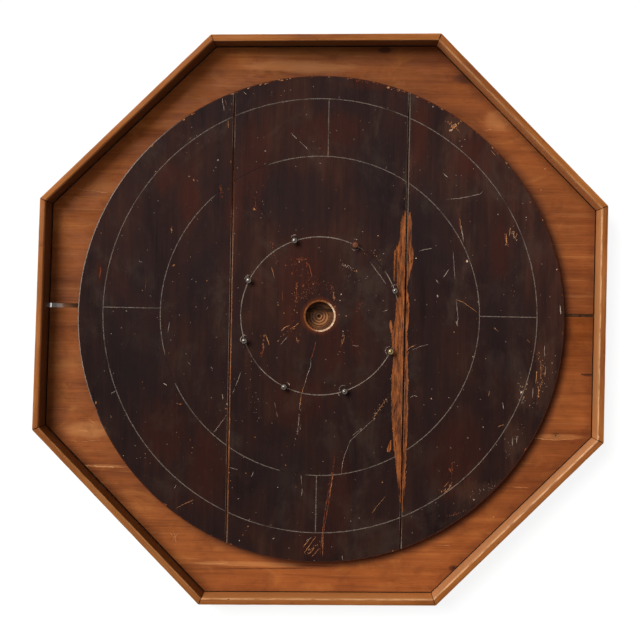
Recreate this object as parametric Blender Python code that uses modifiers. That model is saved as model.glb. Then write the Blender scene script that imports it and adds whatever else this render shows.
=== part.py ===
"""Crokinole board, in metres, lying flat with +Z up and +Y to its back.

Two base boards and eight mitred rails make an octagonal tray. A round playing
disc of three planks lies on the tray floor. Eight round-headed posts stand on
its inner line, around the centre hole. Nails hold the rails to the edges of
the base boards, and screws from below hold the planks.
"""

import math

import bmesh
import bpy
from mathutils import Vector

# Fits and making that every piece shares
CLEARANCE = 0.0003
OVERRUN = 0.002
WELD_DISTANCE = 0.00001
SHARP_ANGLE = 35

# Outline of the board: its width over opposite rails, and how far each hand-cut
# side, from the right one round to the left, is off a regular octagon
BOARD_WIDTH = 0.726
SIDE_REACH_SHARES = (1.0, 1.0, 0.9975, 0.983, 0.9935, 0.9965, 1.0, 1.001)
SIDE_TURNS = (0.1, 0.15, 1.3, -0.2, -0.9, -0.25, 1.0, 0.35)
SIDE_NAMES = ("right", "back_right", "back", "back_left",
              "left", "front_left", "front", "front_right")

# Rails
RAIL_HEIGHT = 0.0635
RAIL_THICKNESS = 0.0088
RAIL_ROUND = 0.0022
RAIL_ROUND_STEPS = 3
MITRE_GAP = 0.0008

# Base boards and the open seam between them
BASE_THICKNESS = 0.0127
SEAM_PLACE = 0.0115
SEAM_GAP_LEFT = 0.0055
SEAM_GAP_RIGHT = 0.0042

# Playing disc: three planks, and the ditch between it and the rails
DITCH_WIDTH = 0.0412
DISC_SHIFT = 0.001
PLANK_THICKNESS = 0.019
CENTRE_PLANK_WIDTH = 0.2244
CENTRE_PLANK_SHIFT = -0.0041
JOINT_GAP = 0.0009
DISC_ROUND = 0.0012
DISC_ROUND_STEPS = 1
DISC_STEPS = 120

# Marks on the disc: the middle of play, the scribed circles and the quadrant lines
PLAY_SHIFT_X = -0.0005
PLAY_SHIFT_Y = 0.0045
OUTER_LINE_SHARE = 0.892
MIDDLE_LINE_SHARE = 0.656
POST_LINE_SHARE = 0.325
# How far each quadrant line lies beside the middle, anticlockwise, as a share of the disc's
# radius: right, back, left, front
QUADRANT_OFFSET_SHARES = (0.0115, -0.0211, -0.0189, 0.0)
LINE_WIDTH = 0.0011
LINE_DEPTH = 0.0005
LINE_STEPS = 96

# Centre hole
HOLE_DIAMETER = 0.0368
HOLE_WEAR_WIDTH = 0.0022
HOLE_WEAR_DEPTH = 0.0014
HOLE_STEPS = 40

# Posts
POST_COUNT = 8
POST_FIRST_ANGLE = 19.5
POST_STAND = 0.0155
POST_HEAD_DIAMETER = 0.009
POST_HEAD_HEIGHT = 0.0068
POST_SHANK_DIAMETER = 0.004
POST_DEPTH = 0.014
POST_TIP = 0.001
POST_STEPS = 16
POST_HEAD_POINTS = 6

# Rail nails
NAIL_PLACE_SHARES = (0.12, 0.42, 0.88)
NAIL_LENGTH = 0.032
NAIL_DIAMETER = 0.0018
NAIL_HEAD_DIAMETER = 0.0038
NAIL_HEAD_THICKNESS = 0.0008
NAIL_TIP = 0.003
NAIL_SINK = 0.0003
NAIL_STEPS = 8

# Disc screws
SCREW_LENGTH = 0.0254
SCREW_DIAMETER = 0.004
SCREW_HEAD_DIAMETER = 0.0082
SCREW_HEAD_HEIGHT = 0.0026
SCREW_TIP = 0.005
SCREW_SINK = 0.0006
SCREW_SLOT_WIDTH = 0.0011
SCREW_SLOT_DEPTH = 0.001
SCREW_STEPS = 12
SCREW_REACH_SHARES = (0.36, 0.74)
SIDE_SCREW_REACH_SHARES = (0.2, 0.56)
SIDE_SCREW_PLACE_SHARE = 0.68

# Heights that the pieces share
FLOOR_HEIGHT = BASE_THICKNESS
DISC_LOW = FLOOR_HEIGHT + CLEARANCE
PLAY_HEIGHT = DISC_LOW + PLANK_THICKNESS
DISC_RADIUS = BOARD_WIDTH / 2 - RAIL_THICKNESS - CLEARANCE - DITCH_WIDTH

# Colour, roughness and metallic value of each material
MATERIALS = {
    "rail_wood": ((0.352, 0.122, 0.028), 0.5, 0.0),
    "base_wood": ((0.305, 0.089, 0.023), 0.5, 0.0),
    "disc_wood": ((0.033, 0.0152, 0.013), 0.42, 0.0),
    "post_steel": ((0.25, 0.24, 0.23), 0.35, 1.0),
    "fastener_iron": ((0.1, 0.075, 0.06), 0.6, 1.0),
}


def clear_scene():
    """Start from an empty scene."""
    for old in list(bpy.data.objects):
        bpy.data.objects.remove(old, do_unlink=True)


def new_collection(name):
    """A collection linked to the scene."""
    made = bpy.data.collections.new(name)
    bpy.context.scene.collection.children.link(made)
    return made


clear_scene()
BOARD = new_collection("crokinole_board")
CUTTERS = new_collection("cutters")


def make_material(name):
    """The named material, made once."""
    if name in bpy.data.materials:
        return bpy.data.materials[name]
    colour, roughness, metallic = MATERIALS[name]
    made = bpy.data.materials.new(name)
    made.use_nodes = True
    shader = made.node_tree.nodes["Principled BSDF"]
    shader.inputs["Base Color"].default_value = (*colour, 1.0)
    shader.inputs["Roughness"].default_value = roughness
    shader.inputs["Metallic"].default_value = metallic
    return made


def evaluated_mesh(maker):
    """The mesh of an object with its modifiers applied; the object is removed."""
    graph = bpy.context.evaluated_depsgraph_get()
    mesh = bpy.data.meshes.new_from_object(maker.evaluated_get(graph), depsgraph=graph)
    source = maker.data
    bpy.data.objects.remove(maker, do_unlink=True)
    if isinstance(source, bpy.types.Curve):
        bpy.data.curves.remove(source)
    else:
        bpy.data.meshes.remove(source)
    return mesh


def flat_mesh(name, outline, thickness):
    """A plate of the given outline, with its lower face at z = 0."""
    curve = bpy.data.curves.new(name, "CURVE")
    curve.dimensions = "2D"
    curve.fill_mode = "BOTH"
    curve.extrude = thickness / 2
    spline = curve.splines.new("POLY")
    spline.points.add(len(outline) - 1)
    for point, (x, y) in zip(spline.points, outline):
        point.co = (x, y, 0.0, 1.0)
    spline.use_cyclic_u = True
    maker = bpy.data.objects.new(name, curve)
    BOARD.objects.link(maker)
    mesh = evaluated_mesh(maker)
    mesh.name = name
    work = bmesh.new()
    work.from_mesh(mesh)
    bmesh.ops.remove_doubles(work, verts=work.verts, dist=WELD_DISTANCE)
    bmesh.ops.translate(work, verts=work.verts, vec=(0.0, 0.0, thickness / 2))
    bmesh.ops.dissolve_limit(work, angle_limit=math.radians(1), verts=work.verts, edges=work.edges)
    bmesh.ops.recalc_face_normals(work, faces=work.faces)
    work.to_mesh(mesh)
    work.free()
    return mesh


def turned_mesh(name, profile, steps, closed=False):
    """A profile of (radius, z) points, top to bottom down its outer side, turned about Z."""
    mesh = bpy.data.meshes.new(name)
    count = len(profile)
    edges = [(i, i + 1) for i in range(count - 1)]
    if closed:
        edges.append((count - 1, 0))
    mesh.from_pydata([(radius, 0.0, z) for radius, z in profile], edges, [])
    maker = bpy.data.objects.new(name, mesh)
    BOARD.objects.link(maker)
    screw = maker.modifiers.new("turn", "SCREW")
    screw.axis = "Z"
    screw.steps = steps
    screw.render_steps = steps
    screw.use_merge_vertices = True
    screw.merge_threshold = WELD_DISTANCE
    turned = evaluated_mesh(maker)
    turned.name = name
    return turned


def round_edges(mesh, wanted, width, steps):
    """Round the edges of a mesh that a test picks."""
    work = bmesh.new()
    work.from_mesh(mesh)
    picked = [edge for edge in work.edges if wanted(edge)]
    bmesh.ops.bevel(work, geom=picked, offset=width, offset_type="OFFSET", segments=steps,
                    profile=0.5, affect="EDGES", clamp_overlap=True)
    work.to_mesh(mesh)
    work.free()


def add_piece(name, mesh, material, place=(0.0, 0.0, 0.0), turn=(0.0, 0.0, 0.0)):
    """One sub-part of the board."""
    if not mesh.materials:
        mesh.materials.append(make_material(material))
    mesh.shade_smooth()
    mesh.set_sharp_from_angle(angle=math.radians(SHARP_ANGLE))
    piece = bpy.data.objects.new(name, mesh)
    BOARD.objects.link(piece)
    piece.location = place
    piece.rotation_euler = turn
    return piece


def add_cutter(name, mesh, place=(0.0, 0.0, 0.0), turn=(0.0, 0.0, 0.0)):
    """A hidden shape that is cut out of pieces."""
    cutter = bpy.data.objects.new(name, mesh)
    CUTTERS.objects.link(cutter)
    cutter.location = place
    cutter.rotation_euler = turn
    cutter.display_type = "WIRE"
    cutter.hide_render = True
    return cutter


def cut(piece, cutter):
    """Take a cutter out of a piece."""
    boolean = piece.modifiers.new(cutter.name, "BOOLEAN")
    boolean.operation = "DIFFERENCE"
    boolean.solver = "EXACT"
    boolean.object = cutter


# Outline


def side_lines(inset):
    """Each side as its outward normal and its distance from the layout's middle."""
    lines = []
    for number, (share, turn) in enumerate(zip(SIDE_REACH_SHARES, SIDE_TURNS)):
        angle = math.radians(360 * number / len(SIDE_TURNS) + turn)
        normal = Vector((math.cos(angle), math.sin(angle)))
        lines.append((normal, BOARD_WIDTH / 2 * share - inset))
    return lines


def crossing(first, second):
    """The point where two lines meet."""
    (a, reach_a), (b, reach_b) = first, second
    cross = a.x * b.y - a.y * b.x
    return Vector(((reach_a * b.y - reach_b * a.y) / cross,
                   (a.x * reach_b - b.x * reach_a) / cross))


def raw_corners(inset):
    """The corner at the start of each side, before the board is centred."""
    lines = side_lines(inset)
    return [crossing(lines[number - 1], lines[number]) for number in range(len(lines))]


def outline_middle():
    """The middle of the box round the outline, which becomes the origin."""
    points = raw_corners(0.0)
    low = Vector((min(p.x for p in points), min(p.y for p in points)))
    high = Vector((max(p.x for p in points), max(p.y for p in points)))
    return (low + high) / 2


MIDDLE = outline_middle()


def corners(inset):
    """The corner at the start of each side, with the board centred on the origin."""
    return [point - MIDDLE for point in raw_corners(inset)]


# Rails


def rail_outline(number):
    """A rail seen from above: mitred ends, each drawn back by half the mitre gap."""
    outer = corners(0.0)
    inner = corners(RAIL_THICKNESS)
    after = (number + 1) % len(outer)
    run = (outer[after] - outer[number]).normalized()
    back = run * MITRE_GAP / 2
    return [outer[number] + back, outer[after] - back, inner[after] - back, inner[number] + back]


def long_top_edge(edge):
    """Whether an edge of a rail runs along its top."""
    high = all(vert.co.z > RAIL_HEIGHT - CLEARANCE for vert in edge.verts)
    return high and edge.calc_length() > RAIL_HEIGHT


def make_rails():
    """Eight rails on edge round the base boards, their long top edges rounded."""
    rails = []
    for number, side in enumerate(SIDE_NAMES):
        name = f"rail_{side}"
        mesh = flat_mesh(name, rail_outline(number), RAIL_HEIGHT)
        round_edges(mesh, long_top_edge, RAIL_ROUND, RAIL_ROUND_STEPS)
        rails.append(add_piece(name, mesh, "rail_wood"))
    return rails


# Base boards


def kept_side(outline, start, end):
    """The part of an outline that lies to the left of the line from start to end."""
    run = end - start
    kept = []
    for here, after in zip(outline, outline[1:] + outline[:1]):
        here_side = run.cross(here - start)
        after_side = run.cross(after - start)
        if here_side >= 0:
            kept.append(here)
        if (here_side > 0) != (after_side > 0):
            share = here_side / (here_side - after_side)
            kept.append(here.lerp(after, share))
    return kept


def make_base_boards():
    """Two boards that meet at an open seam, wider at its left end."""
    outline = corners(RAIL_THICKNESS + CLEARANCE)
    far = BOARD_WIDTH / 2
    back_left = Vector((-far, SEAM_PLACE + SEAM_GAP_LEFT / 2))
    back_right = Vector((far, SEAM_PLACE + SEAM_GAP_RIGHT / 2))
    front_left = Vector((-far, SEAM_PLACE - SEAM_GAP_LEFT / 2))
    front_right = Vector((far, SEAM_PLACE - SEAM_GAP_RIGHT / 2))
    halves = {
        "base_board_back": kept_side(outline, back_left, back_right),
        "base_board_front": kept_side(outline, front_right, front_left),
    }
    return [add_piece(name, flat_mesh(name, half, BASE_THICKNESS), "base_wood")
            for name, half in halves.items()]


def boards_met(boards, low, high):
    """The base boards that lie between two places along Y."""
    back, front = boards
    met = []
    if high > SEAM_PLACE:
        met.append(back)
    if low < SEAM_PLACE:
        met.append(front)
    return met


# Disc


def plank_edges():
    """Where each plank starts and ends along X."""
    centre = DISC_SHIFT + CENTRE_PLANK_SHIFT
    half = CENTRE_PLANK_WIDTH / 2
    left_joint = centre - half
    right_joint = centre + half
    gap = JOINT_GAP / 2
    return {
        "disc_plank_left": (DISC_SHIFT - DISC_RADIUS, left_joint - gap),
        "disc_plank_centre": (left_joint + gap, right_joint - gap),
        "disc_plank_right": (right_joint + gap, DISC_SHIFT + DISC_RADIUS),
    }


def arc(start, end):
    """Points of the disc's rim between two angles, both ends included."""
    steps = max(1, round(DISC_STEPS * (end - start) / math.tau))
    points = []
    for step in range(steps + 1):
        angle = start + (end - start) * step / steps
        points.append(Vector((DISC_SHIFT + DISC_RADIUS * math.cos(angle),
                              DISC_RADIUS * math.sin(angle))))
    return points


def rim_angle(x):
    """The angle of the back rim point at a place along X."""
    return math.acos(max(-1.0, min(1.0, (x - DISC_SHIFT) / DISC_RADIUS)))


def plank_outline(low, high):
    """The slice of the round disc between two places along X."""
    first, last = rim_angle(high), rim_angle(low)
    back = arc(first, last)
    front = arc(math.tau - last, math.tau - first)
    outline = []
    for point in back + front:
        if not outline or (point - outline[-1]).length > CLEARANCE:
            outline.append(point)
    if (outline[0] - outline[-1]).length < CLEARANCE:
        outline.pop()
    return outline


def plank_top_edge(edge):
    """Whether an edge of a plank lies round its playing face."""
    return all(vert.co.z > PLANK_THICKNESS - CLEARANCE for vert in edge.verts)


def make_planks():
    """Three planks with the grain along Y, their top edges eased."""
    planks = {}
    for name, (low, high) in plank_edges().items():
        mesh = flat_mesh(name, plank_outline(low, high), PLANK_THICKNESS)
        round_edges(mesh, plank_top_edge, DISC_ROUND, DISC_ROUND_STEPS)
        planks[name] = add_piece(name, mesh, "disc_wood", place=(0.0, 0.0, DISC_LOW))
    return planks


def planks_met(planks, low, high):
    """The planks that lie between two places along X."""
    edges = plank_edges()
    return [planks[name] for name in planks if edges[name][0] < high and edges[name][1] > low]


def line_profile(radius):
    """The section of a scribed line, a V that comes up out of the surface."""
    half = LINE_WIDTH / 2
    rise = OVERRUN
    spread = half * (LINE_DEPTH + rise) / LINE_DEPTH
    return [(radius + spread, rise), (radius, -LINE_DEPTH), (radius - spread, rise)]


def cut_circles(planks):
    """Scribe the three circles."""
    shares = {"outer": OUTER_LINE_SHARE, "middle": MIDDLE_LINE_SHARE, "post": POST_LINE_SHARE}
    for label, share in shares.items():
        radius = DISC_RADIUS * share
        mesh = turned_mesh(f"{label}_line", line_profile(radius), LINE_STEPS, closed=True)
        cutter = add_cutter(f"cut_{label}_line", mesh, place=(PLAY_SHIFT_X, PLAY_SHIFT_Y, PLAY_HEIGHT))
        for plank in planks_met(planks, PLAY_SHIFT_X - radius, PLAY_SHIFT_X + radius):
            cut(plank, cutter)


def cut_quadrants(planks):
    """Scribe the four quadrant lines between the middle and the outer circle."""
    start = DISC_RADIUS * MIDDLE_LINE_SHARE
    end = DISC_RADIUS * OUTER_LINE_SHARE
    for quarter, offset_share in enumerate(QUADRANT_OFFSET_SHARES):
        angle = math.tau * quarter / len(QUADRANT_OFFSET_SHARES)
        mesh = flat_mesh(f"quadrant_{quarter}", line_profile(0.0), end - start)
        # The prism stands along Z; it is laid down and pointed along its quadrant
        along = Vector((math.cos(angle), math.sin(angle)))
        foot = Vector((PLAY_SHIFT_X, PLAY_SHIFT_Y))
        foot += Vector((-along.y, along.x)) * DISC_RADIUS * offset_share + along * start
        place = (foot.x, foot.y, PLAY_HEIGHT)
        cutter = add_cutter(f"cut_quadrant_{quarter}", mesh, place=place,
                            turn=(math.pi / 2, 0.0, angle + math.pi / 2))
        xs = (foot.x, foot.x + along.x * (end - start))
        for plank in planks_met(planks, min(xs), max(xs)):
            cut(plank, cutter)


def cut_hole(planks):
    """The centre hole and its worn rim."""
    radius = HOLE_DIAMETER / 2
    rim = radius + HOLE_WEAR_WIDTH
    slope = HOLE_WEAR_WIDTH / HOLE_WEAR_DEPTH
    low = -PLANK_THICKNESS - OVERRUN
    through = [(0.0, OVERRUN), (rim + OVERRUN * slope, OVERRUN), (radius, -HOLE_WEAR_DEPTH),
               (radius, low), (0.0, low)]
    cutter = add_cutter("cut_hole", turned_mesh("hole", through, HOLE_STEPS),
                        place=(PLAY_SHIFT_X, PLAY_SHIFT_Y, PLAY_HEIGHT))
    for plank in planks_met(planks, PLAY_SHIFT_X - rim, PLAY_SHIFT_X + rim):
        cut(plank, cutter)


# Posts


def post_profile():
    """A domed head on a straight shank, from its top down to its tip in the wood."""
    head = POST_HEAD_DIAMETER / 2
    half = POST_HEAD_HEIGHT / 2
    shank = POST_SHANK_DIAMETER / 2
    under = -math.acos(shank / head)
    points = []
    for step in range(POST_HEAD_POINTS + 1):
        angle = math.pi / 2 + (under - math.pi / 2) * step / POST_HEAD_POINTS
        points.append((head * math.cos(angle) if step else 0.0,
                       POST_STAND - half + half * math.sin(angle)))
    points += [(shank, POST_TIP - POST_DEPTH), (shank - POST_TIP, -POST_DEPTH), (0.0, -POST_DEPTH)]
    return points


def make_posts(planks):
    """Eight posts on the inner circle, each in its hole."""
    mesh = turned_mesh("post", post_profile(), POST_STEPS)
    bore = POST_SHANK_DIAMETER / 2 + CLEARANCE
    low = -POST_DEPTH - CLEARANCE
    hole = turned_mesh("post_hole", [(0.0, OVERRUN), (bore, OVERRUN), (bore, low), (0.0, low)],
                       POST_STEPS)
    reach = DISC_RADIUS * POST_LINE_SHARE
    for number in range(POST_COUNT):
        angle = math.radians(POST_FIRST_ANGLE + 360 * number / POST_COUNT)
        place = (PLAY_SHIFT_X + reach * math.cos(angle),
                 PLAY_SHIFT_Y + reach * math.sin(angle), PLAY_HEIGHT)
        add_piece(f"post_{number + 1}", mesh, "post_steel", place=place)
        cutter = add_cutter(f"cut_post_{number + 1}", hole, place=place)
        for plank in planks_met(planks, place[0] - bore, place[0] + bore):
            cut(plank, cutter)


# Nails


def nail_meshes():
    """A nail with its head up, and the hole that it sits in."""
    head = NAIL_HEAD_DIAMETER / 2
    shank = NAIL_DIAMETER / 2
    nail = [(0.0, 0.0), (head, 0.0), (head, -NAIL_HEAD_THICKNESS), (shank, -NAIL_HEAD_THICKNESS),
            (shank, NAIL_TIP - NAIL_LENGTH), (0.0, -NAIL_LENGTH)]
    wide = head + CLEARANCE
    bore = shank + CLEARANCE
    seat = -NAIL_HEAD_THICKNESS - CLEARANCE
    low = -NAIL_LENGTH - CLEARANCE
    hole = [(0.0, OVERRUN), (wide, OVERRUN), (wide, seat), (bore, seat), (bore, low), (0.0, low)]
    return turned_mesh("nail", nail, NAIL_STEPS), turned_mesh("nail_hole", hole, NAIL_STEPS)


def make_nails(rails, boards):
    """Nails through each rail into the edge of the base board behind it."""
    nail, hole = nail_meshes()
    outer = corners(0.0)
    lines = side_lines(0.0)
    for number, rail in enumerate(rails):
        start = outer[number]
        end = outer[(number + 1) % len(outer)]
        normal = lines[number][0]
        angle = math.atan2(normal.y, normal.x)
        for count, share in enumerate(NAIL_PLACE_SHARES):
            head = start.lerp(end, share) - normal * NAIL_SINK
            tip = head - normal * (NAIL_LENGTH + CLEARANCE)
            place = (head.x, head.y, BASE_THICKNESS / 2)
            turn = (0.0, math.pi / 2, angle)
            label = f"{SIDE_NAMES[number]}_{count + 1}"
            add_piece(f"nail_{label}", nail, "fastener_iron", place=place, turn=turn)
            cutter = add_cutter(f"cut_nail_{label}", hole, place=place, turn=turn)
            cut(rail, cutter)
            bore = NAIL_DIAMETER / 2 + CLEARANCE
            low = min(head.y, tip.y) - bore
            high = max(head.y, tip.y) + bore
            for board in boards_met(boards, low, high):
                cut(board, cutter)


# Screws


def screw_meshes():
    """A countersunk screw with its head down, and the hole that it sits in."""
    head = SCREW_HEAD_DIAMETER / 2
    shank = SCREW_DIAMETER / 2
    low = SCREW_SINK
    neck = low + SCREW_HEAD_HEIGHT
    top = low + SCREW_LENGTH
    screw = [(0.0, top), (shank, top - SCREW_TIP), (shank, neck), (head, low), (0.0, low)]
    bore = shank + CLEARANCE
    wide = head + CLEARANCE
    hole = [(0.0, top + CLEARANCE), (bore, top + CLEARANCE), (bore, neck + CLEARANCE),
            (wide, low + CLEARANCE), (wide, -OVERRUN), (0.0, -OVERRUN)]
    blank = bpy.data.objects.new("screw_blank", turned_mesh("screw_blank", screw, SCREW_STEPS))
    BOARD.objects.link(blank)
    bpy.ops.mesh.primitive_cube_add(size=1.0)
    slot = bpy.context.object
    slot.scale = (SCREW_HEAD_DIAMETER + OVERRUN, SCREW_SLOT_WIDTH, 2 * SCREW_SLOT_DEPTH)
    slot.location = (0.0, 0.0, low)
    cut(blank, slot)
    slotted = evaluated_mesh(blank)
    slotted.name = "screw"
    bpy.data.objects.remove(slot, do_unlink=True)
    return slotted, turned_mesh("screw_hole", hole, SCREW_STEPS)


def make_screws(planks, boards):
    """Screws up through the base boards into the planks."""
    screw, hole = screw_meshes()
    places = []
    side = DISC_RADIUS * SIDE_SCREW_PLACE_SHARE
    for reach in SCREW_REACH_SHARES:
        places += [(DISC_SHIFT + CENTRE_PLANK_SHIFT, way * DISC_RADIUS * reach) for way in (1, -1)]
    for reach in SIDE_SCREW_REACH_SHARES:
        for across in (side, -side):
            places += [(DISC_SHIFT + across, way * DISC_RADIUS * reach) for way in (1, -1)]
    wide = SCREW_HEAD_DIAMETER / 2 + CLEARANCE
    for number, (x, y) in enumerate(places):
        turn = (0.0, 0.0, math.tau * number / len(places))
        add_piece(f"screw_{number + 1}", screw, "fastener_iron", place=(x, y, 0.0), turn=turn)
        cutter = add_cutter(f"cut_screw_{number + 1}", hole, place=(x, y, 0.0), turn=turn)
        for plank in planks_met(planks, x - wide, x + wide):
            cut(plank, cutter)
        for board in boards_met(boards, y - wide, y + wide):
            cut(board, cutter)


def make_board():
    """Every piece of the board."""
    rails = make_rails()
    boards = make_base_boards()
    planks = make_planks()
    cut_circles(planks)
    cut_quadrants(planks)
    cut_hole(planks)
    make_posts(planks)
    make_nails(rails, boards)
    make_screws(planks, boards)


make_board()
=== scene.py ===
import math
import random

import bmesh
import bpy
from mathutils import Matrix, Vector
from mathutils import noise as field


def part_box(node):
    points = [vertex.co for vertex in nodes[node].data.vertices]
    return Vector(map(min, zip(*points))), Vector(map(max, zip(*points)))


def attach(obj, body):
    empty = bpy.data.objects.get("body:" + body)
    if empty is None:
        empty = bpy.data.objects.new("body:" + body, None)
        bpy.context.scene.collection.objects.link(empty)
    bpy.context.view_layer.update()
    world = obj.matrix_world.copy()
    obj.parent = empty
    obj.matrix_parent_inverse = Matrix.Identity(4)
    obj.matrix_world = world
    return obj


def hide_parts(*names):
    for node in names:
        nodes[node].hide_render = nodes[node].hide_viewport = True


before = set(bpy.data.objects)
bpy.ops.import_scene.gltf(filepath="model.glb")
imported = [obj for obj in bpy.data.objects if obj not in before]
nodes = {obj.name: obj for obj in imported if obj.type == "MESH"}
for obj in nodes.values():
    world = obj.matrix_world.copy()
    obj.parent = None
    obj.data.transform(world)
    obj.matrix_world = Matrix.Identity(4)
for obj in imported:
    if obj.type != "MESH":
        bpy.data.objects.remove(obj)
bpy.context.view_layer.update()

MM = 0.001
QUARTER = math.pi / 2
dice = random.Random(11)

# Heights read from the frame, and the middles that the layout was scribed from
PLAY_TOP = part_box("disc_plank_centre")[1].z
FLOOR_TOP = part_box("base_board_front")[1].z
RAIL_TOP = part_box("rail_front")[1].z
DISC_MIDDLE = Vector((0.001, 0.0, 0.0))
DISC_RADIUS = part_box("disc_plank_centre")[1].y
PLAY_MIDDLE = Vector((-0.0005, 0.0045, 0.0))
HOLE_RADIUS = 0.0184
RAIL_THICKNESS = 0.0088

SIDES = ("right", "back_right", "back", "back_left", "left", "front_left", "front", "front_right")
SIDE_TURNS = (0.1, 0.15, 1.3, -0.2, -0.9, -0.25, 1.0, 0.35)
SIDE_STEP = 45.0

# Camera: where it stood over the board, what it looked at, and how it was turned
IMAGE_WIDTH = 640
CAMERA_PLACE = Vector((0.0314, 0.0198, 2.4927))
CAMERA_AIM = Vector((0.0001, -0.0008, 0.032))
CAMERA_TURN = math.radians(1.146)
CAMERA_SENSOR = 36.0
CAMERA_LENS = 107.776
CAMERA_FAR = 50.0
CAMERA_BACK = (CAMERA_PLACE - CAMERA_AIM).normalized()
CAMERA_ACROSS = Vector((-math.sin(CAMERA_TURN), math.cos(CAMERA_TURN), 0.0))
CAMERA_RIGHT = CAMERA_ACROSS.cross(CAMERA_BACK).normalized()
CAMERA_UP = CAMERA_BACK.cross(CAMERA_RIGHT)


def linked(name, data):
    """A new object in the scene."""
    made = bpy.data.objects.new(name, data)
    bpy.context.scene.collection.objects.link(made)
    return made


def make_camera():
    """The camera high over the board, at the photograph's angle."""
    data = bpy.data.cameras.new("camera")
    data.sensor_width = CAMERA_SENSOR
    data.lens = CAMERA_LENS
    data.clip_end = CAMERA_FAR
    camera = linked("camera", data)
    turn = Matrix((CAMERA_RIGHT, CAMERA_UP, CAMERA_BACK)).transposed().to_4x4()
    camera.matrix_world = Matrix.Translation(CAMERA_PLACE) @ turn
    bpy.context.scene.camera = camera


def spot(px, py, height=PLAY_TOP):
    """The point of the board, at this height, that the photograph shows at a pixel."""
    scale = CAMERA_SENSOR / CAMERA_LENS / IMAGE_WIDTH
    right = (px - IMAGE_WIDTH / 2) * scale
    up = (IMAGE_WIDTH / 2 - py) * scale
    ray = CAMERA_RIGHT * right + CAMERA_UP * up - CAMERA_BACK
    return CAMERA_PLACE + ray * ((height - CAMERA_PLACE.z) / ray.z)


def pairs(path):
    """The pixels of a path that is written as x, y, x, y and so on."""
    return list(zip(path[::2], path[1::2]))


def spots(path, height=PLAY_TOP):
    return [spot(px, py, height) for px, py in pairs(path)]


def pixel_size(px, py, height):
    """How wide a pixel is on the board."""
    return (spot(px + 1.0, py, height) - spot(px, py, height)).length


make_camera()


# Shading helpers


def tone(code):
    """A colour written as rrggbb, in the linear values that a shader takes."""
    parts = [int(code[k:k + 2], 16) / 255 for k in (0, 2, 4)]
    return tuple(((p + 0.055) / 1.055) ** 2.4 if p > 0.04045 else p / 12.92 for p in parts) + (1.0,)


class Tree:
    """The nodes of a material or a world."""

    def __init__(self, owner):
        owner.use_nodes = True
        self.nodes = owner.node_tree.nodes
        self.links = owner.node_tree.links
        self.nodes.clear()

    def add(self, kind, puts=(), **settings):
        node = self.nodes.new(kind)
        for name, value in settings.items():
            setattr(node, name, value)
        for socket, value in puts:
            if isinstance(value, bpy.types.NodeSocket):
                self.links.new(value, node.inputs[socket])
            else:
                node.inputs[socket].default_value = value
        return node

    def calc(self, operation, *values):
        return self.add("ShaderNodeMath", enumerate(values), operation=operation).outputs[0]

    def axes(self, vector):
        return self.add("ShaderNodeSeparateXYZ", [(0, vector)]).outputs

    def step(self, value, low, high, bottom=0.0, top=1.0):
        """A smooth step between two levels while the value goes from low to high."""
        puts = [("Value", value), ("From Min", low), ("From Max", high), ("To Min", bottom),
                ("To Max", top)]
        return self.add("ShaderNodeMapRange", puts, interpolation_type="SMOOTHSTEP").outputs[0]

    def seen(self):
        """One for camera, glossy and transmission rays, which see the pale background as it is."""
        path = self.add("ShaderNodeLightPath").outputs
        total = self.calc("MAXIMUM", path["Is Camera Ray"], path["Is Glossy Ray"])
        return self.calc("MAXIMUM", total, path["Is Transmission Ray"])


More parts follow.
